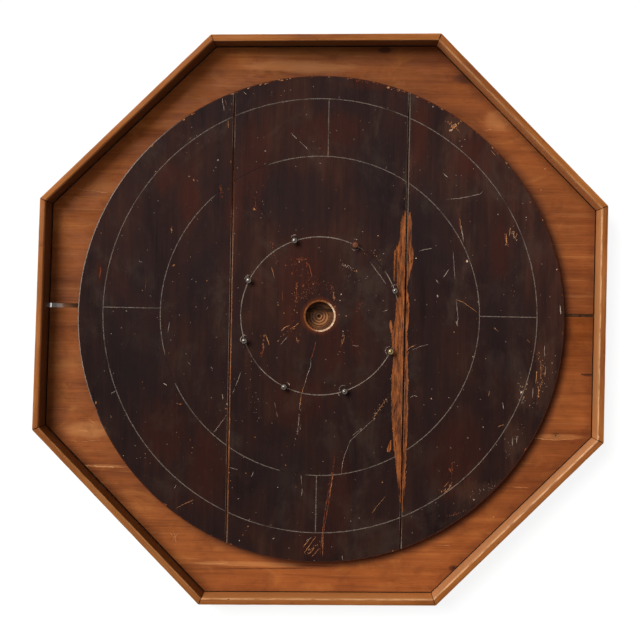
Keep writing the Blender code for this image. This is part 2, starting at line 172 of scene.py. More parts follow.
class Shade(Tree):
    """A material's nodes, with one short call for each kind that is used here."""

    def __init__(self, name):
        self.material = bpy.data.materials.new(name)
        super().__init__(self.material)
        self.place = self.add("ShaderNodeTexCoord").outputs["Object"]

    def times(self, first, second):
        return self.calc("MULTIPLY", first, second)

    def line(self, value, slope, base):
        """The value times a slope, plus a base."""
        return self.calc("MULTIPLY_ADD", value, slope, base)

    def vector(self, operation, *values):
        node = self.add("ShaderNodeVectorMath", enumerate(values), operation=operation)
        lone = operation in ("LENGTH", "DISTANCE", "DOT_PRODUCT")
        return node.outputs["Value" if lone else "Vector"]

    def turned(self, angle):
        """The place, in a frame that is turned by this angle about Z."""
        puts = [("Vector", self.place), ("Angle", -angle)]
        return self.add("ShaderNodeVectorRotate", puts, rotation_type="Z_AXIS").outputs[0]

    def flat(self, middle):
        """The way from a point to the place, without its rise."""
        way = self.vector("SUBTRACT", self.place, tuple(middle))
        return self.vector("MULTIPLY", way, (1.0, 1.0, 0.0))

    def reach(self, middle):
        return self.vector("LENGTH", self.flat(middle))

    def facing(self, middle, height, way):
        """How far the place lies on one side of a point, from -1 to 1."""
        out = self.vector("SUBTRACT", self.place, (middle.x, middle.y, height))
        return self.vector("DOT_PRODUCT", self.vector("NORMALIZE", out), way)

    def noise(self, point, size, detail=3.0, rough=0.55, warp=0.0, shift=0.0):
        """Noise from 0 to 1; size is how many of its waves fit into a metre, one or three numbers."""
        size = (size, size, size) if isinstance(size, float) else size
        point = self.vector("MULTIPLY_ADD", point, size, (shift, shift, shift))
        puts = [("Vector", point), ("Scale", 1.0), ("Detail", detail), ("Roughness", rough),
                ("Distortion", warp)]
        return self.add("ShaderNodeTexNoise", puts).outputs[0]

    def ramp(self, value, *stops):
        node = self.add("ShaderNodeValToRGB", [("Fac", value)])
        marks = node.color_ramp.elements
        while len(marks) < len(stops):
            marks.new(1.0)
        for mark, (place, colour) in zip(marks, stops):
            mark.position = place
            mark.color = tone(colour) if isinstance(colour, str) else (colour, colour, colour, 1.0)
        return node.outputs[0]

    def mix(self, amount, first, second):
        first = tone(first) if isinstance(first, str) else first
        second = tone(second) if isinstance(second, str) else second
        puts = [(0, amount), (6, first), (7, second)]
        return self.add("ShaderNodeMix", puts, data_type="RGBA", blend_type="MIX").outputs[2]

    def over(self, colour, paint, cover, share):
        """A paint laid over a colour where a cover says so, by a share at most."""
        return self.mix(self.times(cover, share), colour, paint)

    def scaled(self, colour, share):
        """A colour times one number."""
        puts = [(0, colour), ("Scale", share)]
        return self.add("ShaderNodeVectorMath", puts, operation="SCALE").outputs["Vector"]

    def finish(self, colour, rough, relief, depth, **sockets):
        """Ends the tree with one shader; sockets are its plain values, by their names."""
        bump = self.add("ShaderNodeBump", [("Height", relief), ("Distance", depth)])
        puts = [("Base Color", colour), ("Roughness", rough)]
        puts += [(name.replace("_", " "), value) for name, value in sockets.items()]
        shader = self.add("ShaderNodeBsdfPrincipled", puts + [("Normal", bump.outputs[0])])
        self.add("ShaderNodeOutputMaterial", [("Surface", shader.outputs[0])])
        return self.material


def pull(run, across, along):
    """Noise sizes that are drawn out along one axis, as wood's grain is."""
    size = [across, across, across]
    size[run] = along
    return tuple(size)


def timber(s, point, run, tones, shift=0.0):
    """Bare wood in a frame whose grain follows axis run: its colour, its relief and its fibre."""
    fibre = s.noise(point, pull(run, 650.0, 16.0), 3.0, 0.6, 0.0, shift)
    band = s.noise(point, pull(run, 85.0, 2.6), 4.0, 0.55, 0.5, shift)
    cloud = s.noise(point, pull(run, 13.0, 6.0), 4.0, 0.55, 0.3, shift + 3.0)
    value = s.line(band, 0.45, s.line(fibre, 0.25, s.times(cloud, 0.6)))
    value = s.line(s.calc("SUBTRACT", value, 0.65), 2.2, 0.5)
    pores = s.step(s.noise(point, pull(run, 1400.0, 45.0), 2.0, 0.5, 0.0, shift), 0.6, 0.75)
    colour = s.over(s.ramp(value, *tones), tones[0][1], pores, 0.35)
    return colour, s.calc("SUBTRACT", fibre, s.times(pores, 0.6)), fibre


def side_normal(index):
    angle = math.radians(SIDE_STEP * index + SIDE_TURNS[index])
    return angle, Vector((math.cos(angle), math.sin(angle), 0.0))


def side_reach(index):
    """How far a rail's outer face stands from the middle, along its own outward direction."""
    normal = side_normal(index)[1]
    return max(v.co.dot(normal) for v in nodes["rail_" + SIDES[index]].data.vertices)


def meeting(first, second, inset):
    """Where two neighbouring rails' outer faces, moved in by an inset, would meet."""
    a = side_normal(first)[1]
    b = side_normal(second)[1]
    p = side_reach(first) - inset
    q = side_reach(second) - inset
    det = a.x * b.y - a.y * b.x
    return Vector(((p * b.y - q * a.y) / det, (q * a.x - p * b.x) / det, 0.0))


# Rail wood

RAIL_TONES = ((0.1, "6A3008"), (0.4, "8E4E18"), (0.6, "9C5A22"), (0.9, "B0703A"))
# What the rails have each to itself, in the order of SIDES: the inner face's dark and pale tone and
# how far they cover, pale on the lit sides and dark on the shaded ones as painted light and shade;
# how worn the top's inner edge is, with a painted highlight on the lit sides; the darkening at the
# foot, partly dirt and partly painted shade; the width in mm of the painted shade band along the
# top's inner edge on the shaded sides; and how bright the top is
INNER_LIT_AND_SHADED_TONES = (("D48850", "F0AA6C", 0.95), ("CA7C48", "F0A468", 0.95), ("482408", "622F10", 0.9),
               ("4A2206", "643008", 0.9), ("4A2206", "5E2E0C", 0.9), ("985420", "BC7032", 0.85),
               ("C47A40", "E69C5A", 0.94), ("D08854", "F4B078", 0.94))
EDGE_WEAR_AND_HIGHLIGHT = (0.9, 0.45, 0.2, 0.15, 0.15, 0.25, 0.7, 1.0)
FOOT_SHADE_AND_DIRT = (0.6, 0.1, 0.8, 0.7, 0.7, 0.5, 0.0, 0.1)
PAINTED_SHADE_EDGE = (0.0, 0.0, 0.0, 2.3, 2.2, 0.5, 0.0, 0.0)
TOP_SHARES = (0.93, 0.97, 0.98, 1.1, 0.97, 0.78, 0.9, 0.95)
OUTER_WEAR = 0.6
WORN_AND_HIGHLIGHT_TONE = "E0A878"
SHADE_BAND_TONE = "4E2408"
FOOT_SHADE_AND_DIRT_TONE = "2A1408"
UNDER_TONE = "6E5138"
SPOT_TONE = "4A2410"


def rail_wood(index):
    """One rail: grain, wear and dirt, and painted light and shade on its inner edge, face and foot."""
    angle = side_normal(index)[0]
    outer = side_reach(index)
    inner = outer - RAIL_THICKNESS
    dark, pale, cover = INNER_LIT_AND_SHADED_TONES[index]
    s = Shade("rail_wood_" + SIDES[index])
    point = s.turned(angle)
    colour, relief, fibre = timber(s, point, 1, RAIL_TONES, 5.0 + 2.3 * index)
    colour = s.scaled(colour, TOP_SHARES[index])
    out, _, height = s.axes(point)
    face = s.step(out, inner + 0.6 * MM, inner + 0.1 * MM)
    # Inner face: pale on the lit sides and dark on the shaded ones, as painted light and shade
    colour = s.over(colour, s.mix(fibre, dark, pale), face, cover)
    ragged = s.noise(point, pull(1, 300.0, 55.0), 4.0, 0.6)
    rise = s.calc("SUBTRACT", height, RAIL_TOP)
    # Worn top edges; on the inner edge the pale paint is also a painted highlight, strongest on the lit
    # sides
    for edge, lower, width, most in ((inner, 1.0, 2.9, EDGE_WEAR_AND_HIGHLIGHT[index]), (outer, 0.0, 1.5, OUTER_WEAR)):
        away = s.calc("SUBTRACT", out, edge)
        drop = s.calc("ADD", rise, lower * MM)
        gap = s.calc("SQRT", s.calc("ADD", s.times(away, away), s.times(drop, drop)))
        worn = s.step(gap, width * MM, 0.4 * width * MM)
        colour = s.over(colour, WORN_AND_HIGHLIGHT_TONE, worn, s.step(ragged, 0.36, 0.6, 0.25 * most, most))
    # Painted shade: a dark band along the top's inner edge on the shaded sides
    if PAINTED_SHADE_EDGE[index] > 0.0:
        band = inner + PAINTED_SHADE_EDGE[index] * MM
        band = s.step(s.line(ragged, 0.8 * MM, out), band + 0.9 * MM, band)
        colour = s.over(colour, SHADE_BAND_TONE, band, 0.85)
    # Darkening at the foot of the inner face, partly dirt and partly painted shade
    foot_shade_and_dirt = s.step(s.calc("ADD", height, s.times(ragged, 9 * MM)), FLOOR_TOP + 9 * MM, FLOOR_TOP + 2 * MM)
    colour = s.over(colour, FOOT_SHADE_AND_DIRT_TONE, foot_shade_and_dirt, s.times(face, FOOT_SHADE_AND_DIRT[index]))
    colour = s.over(colour, UNDER_TONE, s.step(height, 1.2 * MM, 0.3 * MM), 0.7)
    spotted = s.step(s.noise(point, (120.0, 60.0, 120.0), 3.0, 0.6, 0.0, 7.7), 0.66, 0.74)
    colour = s.over(colour, SPOT_TONE, spotted, 0.5)
    rough = s.step(fibre, 0.2, 0.8, 0.38, 0.62)
    return s.finish(colour, rough, relief, 0.25 * MM, Specular_IOR_Level=0.16)


# Tray wood

BASE_TONES = ((0.05, "6A3110"), (0.35, "85461B"), (0.65, "965122"), (0.95, "AE6830"))
AGED_TONES = ((0.1, "5E4630"), (0.5, "836444"), (0.9, "A2835E"))
# The way in which the floor beside the disc carries the disc's painted shadow
SHADE_WAY = (0.84, -0.54, 0.0)
# The way of the back-left corner, where painted light lifts the shade beside the rails
BACK_LEFT_WAY = (-0.707, 0.707, 0.0)
# Painted light and shade by direction, from the left end round by the front to the left again
PAINTED_TRAY_LIGHT = (0.86, 0.8, 0.95, 0.7, 0.84, 1.25, 0.95, 1.15, 0.86)
# Patches: pixel of the middle, and half width and half height in pixels
KNOTS = (
    (555.7, 435.6, 4, 2.4), (453.5, 568, 3.6, 3), (588, 375, 5, 1.3), (304, 565.5, 26, 1),
    (470, 78, 16, 5), (586, 128, 4, 2), (385, 50, 6, 3),
)
LIGHTER = (
    (245, 564, 50, 2.2), (300, 67, 46, 5), (560, 437, 26, 2.4), (100, 466, 24, 1.4), (500, 120, 12, 9),
    (90, 430, 22, 7),
)


def edge_of_tray(s):
    """How far outside the tray's edge a point of the floor lies; it is below zero inside."""
    worst = None
    for index in range(len(SIDES)):
        line = s.vector("DOT_PRODUCT", s.place, tuple(side_normal(index)[1]))
        line = s.calc("SUBTRACT", line, side_reach(index) - RAIL_THICKNESS)
        worst = line if worst is None else s.calc("MAXIMUM", worst, line)
    return worst


def blobs(s, table, height, ragged, colour, paint, share):
    """Lays soft patches of paint, each an ellipse of pixels with a ragged edge, over a colour."""
    total = None
    for px, py, wide, tall in table:
        scale = pixel_size(px, py, height)
        away = s.vector("SUBTRACT", s.place, tuple(spot(px, py, height)))
        away = s.vector("MULTIPLY", away, (1.0 / (wide * scale), 1.0 / (tall * scale), 0.0))
        blob = s.step(s.calc("ADD", s.vector("LENGTH", away), ragged), 1.5, 0.7)
        total = blob if total is None else s.calc("MAXIMUM", total, blob)
    return s.over(colour, paint, total, share)


def base_wood(name, shift, shaded_hole):
    """Tray floor boards: grain from side to side, dirt and painted light and shade, a rough underside."""
    s = Shade(name)
    colour, relief, fibre = timber(s, s.place, 0, BASE_TONES, shift)
    streak = s.noise(s.place, (5.0, 190.0, 5.0), 4.0, 0.6, 0.6, shift)
    blotch = s.noise(s.place, (16.0, 26.0, 16.0), 5.0, 0.62, 0.8, shift + 1.0)
    for value, low, high, share, paint in (
            (streak, 0.58, 0.74, 0.4, "5C2E14"), (streak, 0.42, 0.3, 0.3, "B87843"),
            (blotch, 0.5, 0.7, 0.55, "A8652E"), (blotch, 0.48, 0.3, 0.5, "6E3512")):
        colour = s.mix(s.step(value, low, high, 0.0, share), colour, paint)
    ragged = s.line(s.noise(s.place, (40.0, 160.0, 40.0), 4.0, 0.6), 1.2, -0.6)
    colour = blobs(s, KNOTS, FLOOR_TOP, ragged, colour, "3A1A0A", 0.75)
    colour = blobs(s, LIGHTER, FLOOR_TOP, ragged, colour, "BA7A46", 0.5)
    edge = edge_of_tray(s)
    soot_and_shade = s.noise(s.place, 45.0, 4.0, 0.6, 0.0, 2.0)
    # A dark band along the rails, partly dirt and partly painted shade
    colour = s.over(colour, "4A220C", s.step(s.line(soot_and_shade, 14 * MM, edge), -9 * MM, 8 * MM), 0.35)
    colour = s.mix(s.step(soot_and_shade, 0.55, 0.75, 0.0, 0.35), colour, "5E2C10")
    out = s.flat(DISC_MIDDLE)
    round_gap = s.calc("SUBTRACT", s.vector("LENGTH", out), DISC_RADIUS)
    out = s.vector("NORMALIZE", out)
    # Painted shadow of the disc on the floor beside its edge, strongest towards SHADE_WAY
    near = s.step(s.line(soot_and_shade, 6 * MM, round_gap), 19 * MM, 4 * MM)
    shaded = s.step(s.vector("DOT_PRODUCT", out, SHADE_WAY), -0.35, 0.6, 0.1, 0.75)
    colour = s.over(colour, "3E1A0A", near, shaded)
    # Painted shade on the floor under the hole, deeper on the back board, which the hole's wall shades
    hole_shade = s.step(s.reach(PLAY_MIDDLE), HOLE_RADIUS + 3 * MM, HOLE_RADIUS + 1 * MM)
    hollow = s.mix(fibre, "2C1A10", "54361F") if shaded_hole else s.mix(fibre, "44260F", "7C4C2C")
    colour = s.over(colour, hollow, hole_shade, 0.8)
    across, along, height = s.axes(s.place)
    aged = timber(s, s.place, 0, AGED_TONES, shift)[0]
    colour = s.mix(s.step(height, 2.0 * MM, 0.5 * MM), colour, aged)
    rough = s.step(s.noise(s.place, (30.0, 60.0, 30.0)), 0.3, 0.7, 0.36, 0.6)
    # Front lighter (a tone of the wood), right darker (painted shade), then painted light round the tray
    tone_and_painted_light = s.times(s.step(along, -0.32, 0.33, 1.28, 0.8), s.step(across, -0.3, 0.33, 1.04, 0.94))
    turn = s.line(s.calc("ARCTAN2", along, across), 0.5 / math.pi, 0.5)
    last = len(PAINTED_TRAY_LIGHT) - 1
    levels = s.ramp(turn, *[(k / last, level / 2) for k, level in enumerate(PAINTED_TRAY_LIGHT)])
    tone_and_painted_light = s.times(tone_and_painted_light, s.times(s.axes(levels)[0], 2.0))
    painted_corner_light = s.step(s.vector("DOT_PRODUCT", out, BACK_LEFT_WAY), 0.75, 0.95)
    painted_corner_light = s.times(s.step(edge, -34 * MM, -10 * MM), painted_corner_light)
    colour = s.scaled(colour, s.times(tone_and_painted_light, s.line(painted_corner_light, 0.6, 1.0)))
    return s.finish(colour, rough, relief, 0.2 * MM, Specular_IOR_Level=0.12)


# Disc wood

DISC_TONES = ((0.05, "1A0E0D"), (0.35, "251614"), (0.6, "2D1A16"), (0.95, "3C231B"))
DISC_SIDE_TONES = ((0.1, "2E1A10"), (0.5, "4C2C1A"), (0.9, "6A4228"))
# Patches: pixel of the middle, and half width and half height in pixels
RUSTY = (
    (300, 272, 20, 30), (330, 350, 12, 22), (190, 196, 9, 30), (478, 158, 18, 18), (290, 310, 9, 24),
    (236, 208, 8, 26), (100, 272, 3, 9), (375, 84, 26, 5), (449, 488, 9, 9), (318, 545, 18, 12),
    (340, 500, 10, 40), (205, 470, 18, 36), (455, 455, 24, 30), (166, 176, 10, 14), (357, 335, 6, 26),
    (255, 160, 12, 40), (420, 130, 8, 30), (330, 130, 30, 14), (500, 250, 8, 26), (165, 430, 20, 26),
    (300, 400, 24, 20),
)
SLATE = (
    (235, 345, 7, 40), (140, 330, 30, 60), (430, 230, 34, 50), (430, 400, 8, 60), (280, 470, 22, 34),
    (220, 100, 24, 20), (505, 300, 20, 60), (200, 260, 14, 44), (380, 180, 20, 40), (60, 320, 10, 50),
    (300, 200, 40, 26),
)
WEATHERED = (
    (544, 376, 9, 34), (524, 393, 8, 14), (514, 440, 9, 16), (455, 128, 14, 10), (481, 492, 22, 10),
)
# Worn arrises beside the joints, by plank: side (0 left, 1 right), reach in mm, the Y at which the
# wear starts and the Y where it is full, paint and share
ARRISES = {
    "left": ((1, 1.5, 0.26, 0.15, "6A3A1E", 0.8), (1, 1.0, 0.5, 0.4, "4A2A1A", 0.7)),
    "centre": ((0, 2.6, 0.25, 0.15, "804622", 0.9), (0, 1.3, 0.5, 0.4, "5A3420", 0.8)),
    "right": ((0, 1.1, 0.09, 0.14, "8A7464", 0.7), (0, 1.4, 0.0, -0.05, "5E3018", 0.7)),
}


def disc_wood(plank, shift, turn):
    """A plank of the playing disc: near-black worn varnish over red-brown wood, grain along Y."""
    s = Shade("disc_wood_" + plank)
    point = s.turned(turn)
    across, along, height = s.axes(s.place)
    fibre = s.noise(point, pull(1, 620.0, 14.0), 3.0, 0.6, 0.0, shift)
    band = s.noise(point, pull(1, 95.0, 4.0), 4.0, 0.6, 0.4, shift)
    cloud = s.noise(point, pull(1, 17.0, 7.0), 5.0, 0.6, 0.5, shift)
    value = s.line(cloud, 0.9, s.line(band, 0.4, s.times(fibre, 0.2)))
    value = s.line(s.calc("SUBTRACT", value, 0.75), 1.9, 0.5)
    haze = s.noise(s.place, (17.0, 12.0, 17.0), 6.0, 0.68, 0.4, shift + 5.0)
    colour = s.mix(s.step(haze, 0.5, 0.72, 0.0, 0.5), s.ramp(value, *DISC_TONES), "42322A")
    colour = s.mix(s.step(haze, 0.46, 0.3, 0.0, 0.45), colour, "1C100F")
    ragged = s.line(s.noise(point, pull(1, 210.0, 26.0), 6.0, 0.72), 3.4, -1.7)
    for table, paint, share in ((SLATE, "1E1617", 0.45), (RUSTY, "40190E", 0.32),
                                (WEATHERED, "54382A", 0.28)):
        colour = blobs(s, table, PLAY_TOP, ragged, colour, paint, share)
    colour = s.scaled(colour, s.step(along, -0.16, 0.16, 0.84, 1.22))
    hollow = s.line(ragged, 2.5 * MM, s.reach(PLAY_MIDDLE))
    hollow = s.step(hollow, HOLE_RADIUS + 8 * MM, HOLE_RADIUS + 2.4 * MM)
    colour = s.over(colour, "5E2A14", hollow, 0.5)
    fray = s.noise(s.place, 160.0, 5.0, 0.65, 0.0, shift)
    rubbed = s.line(fray, 9 * MM, s.reach(DISC_MIDDLE))
    rubbed = s.step(rubbed, DISC_RADIUS + 2.6 * MM, DISC_RADIUS + 5 * MM)
    colour = s.over(colour, "4E2616", rubbed, 0.5)
    dots = s.add("ShaderNodeTexVoronoi", [("Vector", s.place), ("Scale", 95.0)]).outputs
    few = s.step(s.axes(dots["Color"])[0], 0.62, 0.66)
    colour = s.over(colour, "8A7668", s.times(s.step(dots["Distance"], 0.085, 0.045), few), 0.55)
    dust = s.step(s.noise(point, pull(1, 900.0, 120.0), 3.0, 0.6, 0.0, shift), 0.66, 0.78)
    colour = s.over(colour, "6A5548", dust, 0.3)
    bare = timber(s, point, 1, DISC_SIDE_TONES, shift)[0]
    colour = s.over(colour, bare, s.step(height, PLAY_TOP - 5 * MM, PLAY_TOP - 9 * MM), 0.6)
    for side, reach, low, high, paint, share in ARRISES[plank]:
        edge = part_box("disc_plank_" + plank)[side].x
        away = s.calc("ABSOLUTE", s.calc("SUBTRACT", across, edge))
        worn = s.step(s.line(fray, 1.5 * MM, away), reach * MM + 0.75 * MM, 0.75 * MM)
        row = s.step(s.line(cloud, 0.08, along), low, high)
        colour = s.over(colour, paint, s.times(worn, row), share)
    rough = s.step(cloud, 0.3, 0.7, 0.45, 0.65)
    return s.finish(colour, rough, s.line(band, 0.7, fibre), 0.18 * MM, Specular_IOR_Level=0.04)


# Cut and worn wood

RIM_HIGHLIGHT_WAY = (0.94, -0.34, 0.0)
RINGS_HIGHLIGHT_WAY = (0.6, -0.8, 0.0)
RIM_LEFT_HIGHLIGHT_WAY = (-0.97, 0.24, 0.0)
# Where the scribed lines are rubbed away: pixel, and reach in pixels
FADED = (
    (246, 181, 34), (372, 262, 16), (169, 368, 17), (292, 473, 14),
)


def seam_middle():
    return 0.5 * (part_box("base_board_back")[0].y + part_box("base_board_front")[1].y)


def scraped(name, dark, light, run=1, contrast=2.8, patchy=0.0):
    """What shows where the surface is scraped, cut or torn away."""
    s = Shade(name)
    fine = s.noise(s.place, pull(run, 1300.0, 90.0), 3.0, 0.6)
    broad = s.noise(s.place, pull(run, 380.0, 40.0), 5.0, 0.68, 0.3, 2.0)
    value = s.calc("SUBTRACT", s.line(broad, 1.0, s.times(fine, 0.45)), 0.72)
    colour = s.ramp(s.line(value, contrast, 0.52), (0.05, dark), (0.95, light))
    stain = s.noise(s.place, pull(run, 90.0, 26.0), 4.0, 0.6, 0.0, 8.0)
    colour = s.scaled(colour, s.step(stain, 0.36, 0.6, 1.0 - patchy, 1.0))
    return s.finish(colour, 0.7, fine, 0.2 * MM, Specular_IOR_Level=0.2)


def bored_wood():
    """The bit's mark in the tray: dark in its grooves, paler on the ridges, with painted light and shade.
    """
    s = Shade("bored_wood")
    fibre = s.noise(s.place, pull(0, 700.0, 60.0), 4.0, 0.6)
    along, height = s.axes(s.place)[1:]
    ridge = s.step(s.line(fibre, 0.25 * MM, height), FLOOR_TOP - 0.5 * MM, FLOOR_TOP)
    split = seam_middle()
    # The back board, which the hole's wall shades, is darker: painted shade with some dirt
    lower = s.step(along, split + 0.5 * MM, split - 0.5 * MM)
    # Painted highlight on the ridges that face the lower right
    lit = s.step(s.line(fibre, 0.7, s.facing(PLAY_MIDDLE, FLOOR_TOP, RINGS_HIGHLIGHT_WAY)), 0.2, 1.2)
    pale = s.mix(lower, "3A2316", s.mix(lit, "5A3A24", "A46C42"))
    colour = s.mix(ridge, s.mix(lower, "2E1A10", "3A2012"), pale)
    return s.finish(colour, 0.7, fibre, 0.2 * MM, Specular_IOR_Level=0.15)


def rim_wear_and_highlight():
    """The hole's worn edge: bright on the right as wear and a painted highlight, orange-brown elsewhere.
    """
    s = Shade("rim_wear_and_highlight")
    fray = s.noise(s.place, 260.0, 5.0, 0.65)
    # Painted highlight over wear, on the side of the rim that faces the light
    bright = s.step(s.line(fray, 0.8, s.facing(PLAY_MIDDLE, PLAY_TOP, RIM_HIGHLIGHT_WAY)), 0.3, 1.0)
    colour = s.mix(bright, s.ramp(fray, (0.3, "5A2C14"), (0.7, "A86636")),
                   s.ramp(fray, (0.3, "A87856"), (0.7, "ECD0B0")))
    return s.finish(colour, 0.6, fray, 0.2 * MM, Specular_IOR_Level=0.15)


def scribed_line():
    """The floor of the scribed lines: pale chalky dust, worn away where the wood is rubbed."""
    s = Shade("scribed_line")
    fine = s.noise(s.place, 420.0, 4.0, 0.6)
    broad = s.noise(s.place, 28.0, 4.0, 0.6, 0.0, 3.0)
    gone = s.step(broad, 0.5, 0.7, 0.0, 0.75)
    for px, py, reach in FADED:
        away = s.vector("DISTANCE", s.place, tuple(spot(px, py)))
        away = s.calc("DIVIDE", away, reach * pixel_size(px, py, PLAY_TOP))
        gone = s.calc("MAXIMUM", gone, s.step(s.calc("ADD", away, broad), 1.65, 1.3))
    level = s.step(s.reach(PLAY_MIDDLE), 0.12, 0.19, 0.92, 0.64)
    colour = s.scaled(s.ramp(fine, (0.3, "5E4E45"), (0.7, "A8988A")), level)
    return s.finish(s.mix(gone, colour, "2A1A16"), 0.75, fine, 0.1 * MM, Specular_IOR_Level=0.15)


def rim_varnish():
    """The rounded top edge of the disc: grey on the left from wear and a painted highlight, reddish
    elsewhere.
    """
    s = Shade("rim_varnish")
    fray = s.noise(s.place, 220.0, 5.0, 0.65)
    # Painted highlight, over wear, on the left edge that faces the light
    left = s.step(s.facing(DISC_MIDDLE, PLAY_TOP, RIM_LEFT_HIGHLIGHT_WAY), 0.72, 0.9)
    rubbed = s.step(fray, 0.3, 0.55, 0.35, 1.0)
    colour = s.over(s.ramp(fray, (0.3, "241614"), (0.75, "5A3020")), "94857A", left, rubbed)
    return s.finish(colour, 0.5, fray, 0.2 * MM, Specular_IOR_Level=0.3)


def metal(name, dull, bright, rust, cover, rough):
    """Old steel or iron: stained, scratched and rusted over a share of its surface."""
    s = Shade(name)
    stain = s.noise(s.place, 420.0, 5.0, 0.65)
    fine = s.noise(s.place, 1600.0, 3.0, 0.6)
    rusty = s.step(s.line(fine, 0.3, stain), 0.85 - 0.5 * cover, 0.95 - 0.5 * cover)
    colour = s.ramp(stain, (0.3, dull), (0.7, bright))
    colour = s.mix(rusty, colour, s.mix(fine, rust, "3A1A0C"))
    gloss = s.step(rusty, 0.0, 1.0, 0.95, 0.15)
    rough = s.step(rusty, 0.0, 1.0, rough, 0.75)
    return s.finish(colour, rough, s.line(fine, 0.4, stain), 0.15 * MM, Metallic=gloss)


# The two ends of the open seam: pixels
SEAM_LEFT_PX = (51.0, 305.0)
SEAM_RIGHT_PX = (594.0, 315.9)


def putty(name, dark, pale, painted_light_end=False):
    """Filler packed in a joint; with painted_light_end its left end is painted pale, as painted light."""
    s = Shade(name)
    lumps = s.noise(s.place, 300.0, 5.0, 0.65)
    colour = s.ramp(lumps, (0.3, dark), (0.75, pale))
    if painted_light_end:
        # Painted light: pale to near-white at the left end, standing in for the lit floor seen through
        # the gap
        across = s.line(lumps, 6 * MM, s.axes(s.place)[0])
        start = spot(*SEAM_LEFT_PX, FLOOR_TOP).x
        for full, none, paint in ((14 * MM, 36 * MM, "8E6244"), (6 * MM, 22 * MM, "F4EEE8")):
            colour = s.mix(s.step(across, start + none, start + full), colour, paint)
    return s.finish(colour, 0.85, lumps, 0.5 * MM, Specular_IOR_Level=0.1)


# What shows in cuts, in the order of the cutters' slots
CUTS = {
    "pale": scraped("scraped_pale", "6E5E54", "B4A294"),
    "tan": scraped("scraped_tan", "7A4628", "C08A5C"),
    "bare": scraped("bare_wood", "4A1E0C", "BC7442"),
    "torn": scraped("torn_wood", "341409", "A65C28", contrast=2.9, patchy=0.42),
    "red": scraped("scraped_red", "3A180F", "904A2A"),
    "dark": scraped("open_crack", "070404", "160D0A"),
    "bored": bored_wood(),
    "bright": rim_wear_and_highlight(),
    "fresh": scraped("fresh_scratch", "A8683A", "D09A68", run=0),
}
KINDS = list(CUTS)


# Mesh helpers

WELD = 2e-6
FLAT_NORMAL = 0.998
# How far a cutter's shapes stand over the surface that they cut
LIFT = 0.35 * MM
UP = Vector((0.0, 0.0, 1.0))


def made_mesh(bm, name):
    mesh = bpy.data.meshes.new(name)
    bm.to_mesh(mesh)
    bm.free()
    return mesh


def solid_copy(node):
    """A welded copy of a CAD node's mesh that later steps may cut and dress."""
    mesh = nodes[node].data.copy()
    mesh.name = "worn_" + node
    bm = bmesh.new()
    bm.from_mesh(mesh)
    bmesh.ops.remove_doubles(bm, verts=bm.verts, dist=WELD)
    bm.to_mesh(mesh)
    bm.free()
    stored = mesh.attributes.get("custom_normal")
    if stored is not None:
        mesh.attributes.remove(stored)
    return linked("worn_" + node, mesh)


def clothe(mesh, *materials):
    """Gives a mesh these materials, with the first on every face."""
    mesh.materials.clear()
    for material in materials:
        mesh.materials.append(material)
    for polygon in mesh.polygons:
        polygon.material_index = 0


def soften(mesh, angle):
    """Smooth shading, but for faces that lie flat, so that cuts don't shade the surface round them."""
    for polygon in mesh.polygons:
        polygon.use_smooth = abs(polygon.normal.z) < FLAT_NORMAL
    mesh.set_sharp_from_angle(angle=math.radians(angle))


def tube(bm, rings, kind):
    """Joins rings of points into one closed body for cutting."""
    made = [[bm.verts.new(point) for point in ring] for ring in rings]
    count = len(made[0])
    faces = [bm.faces.new(made[0][::-1]), bm.faces.new(made[-1])]
    for first, second in zip(made, made[1:]):
        for k in range(count):
            after = (k + 1) % count
            faces.append(bm.faces.new((first[k], first[after], second[after], second[k])))
    for face in faces:
        face.material_index = KINDS.index(kind)


def walk(points, stride):
    """Points every stride along a path, its ends among them."""
    path = []
    for first, second in zip(points, points[1:]):
        count = max(1, round((second - first).length / stride))
        path += [first.lerp(second, k / count) for k in range(count)]
    return path + [points[-1]]


TAPER_END = 0.25
TAPER_RATE = 4.0
SCRATCH_SHARES = (0.6, 1.25)
SCRATCH_LEAST = 0.1 * MM


def scratch(bm, kind, width, points, depth_share=0.4, wander=0.35, stride=2.4 * MM):
    """A V-shaped scratch with a wandering line and tapered ends."""
    path = walk(points, stride)
    rings = []
    last = len(path) - 1
    for k, point in enumerate(path):
        ahead = (path[min(k + 1, last)] - path[max(k - 1, 0)]).normalized()
        side = Vector((-ahead.y, ahead.x, 0.0))
        taper = min(1.0, TAPER_END + TAPER_RATE * min(k, last - k) / max(last, 1))
        half = width / 2 * taper * dice.uniform(*SCRATCH_SHARES)
        deep = max(width * depth_share * taper, SCRATCH_LEAST)
        half *= (deep + LIFT) / deep
        middle = point + side * width * wander * dice.uniform(-1.0, 1.0)
        rings.append([middle + side * half + UP * LIFT, middle - side * half + UP * LIFT,
                      middle - UP * deep])
    tube(bm, rings, kind)


CHIP_CORNERS = 6
CORNER_TURN = 0.3
CORNER_REACHES = (0.55, 1.2)
CHIP_FLOOR_SHARE = 0.25


def chip(bm, kind, size, place, longer=1.0, angle=0.0, depth_share=0.35):
    """A small broken pit, drawn out along an angle."""
    deep = size * depth_share
    shape = []
    for k in range(CHIP_CORNERS):
        turn = math.tau * (k + dice.uniform(-CORNER_TURN, CORNER_TURN)) / CHIP_CORNERS
        shape.append((turn, dice.uniform(*CORNER_REACHES)))
    c = math.cos(angle)
    s = math.sin(angle)
    rings = []
    for share, height in (((deep + LIFT) / deep, LIFT), (CHIP_FLOOR_SHARE, -deep)):
        ring = []
        for turn, reach in shape:
            x = 0.5 * size * reach * share * math.cos(turn) * longer
            y = 0.5 * size * reach * share * math.sin(turn)
            ring.append(place + Vector((x * c - y * s, x * s + y * c, height)))
        rings.append(ring)
    tube(bm, rings, kind)


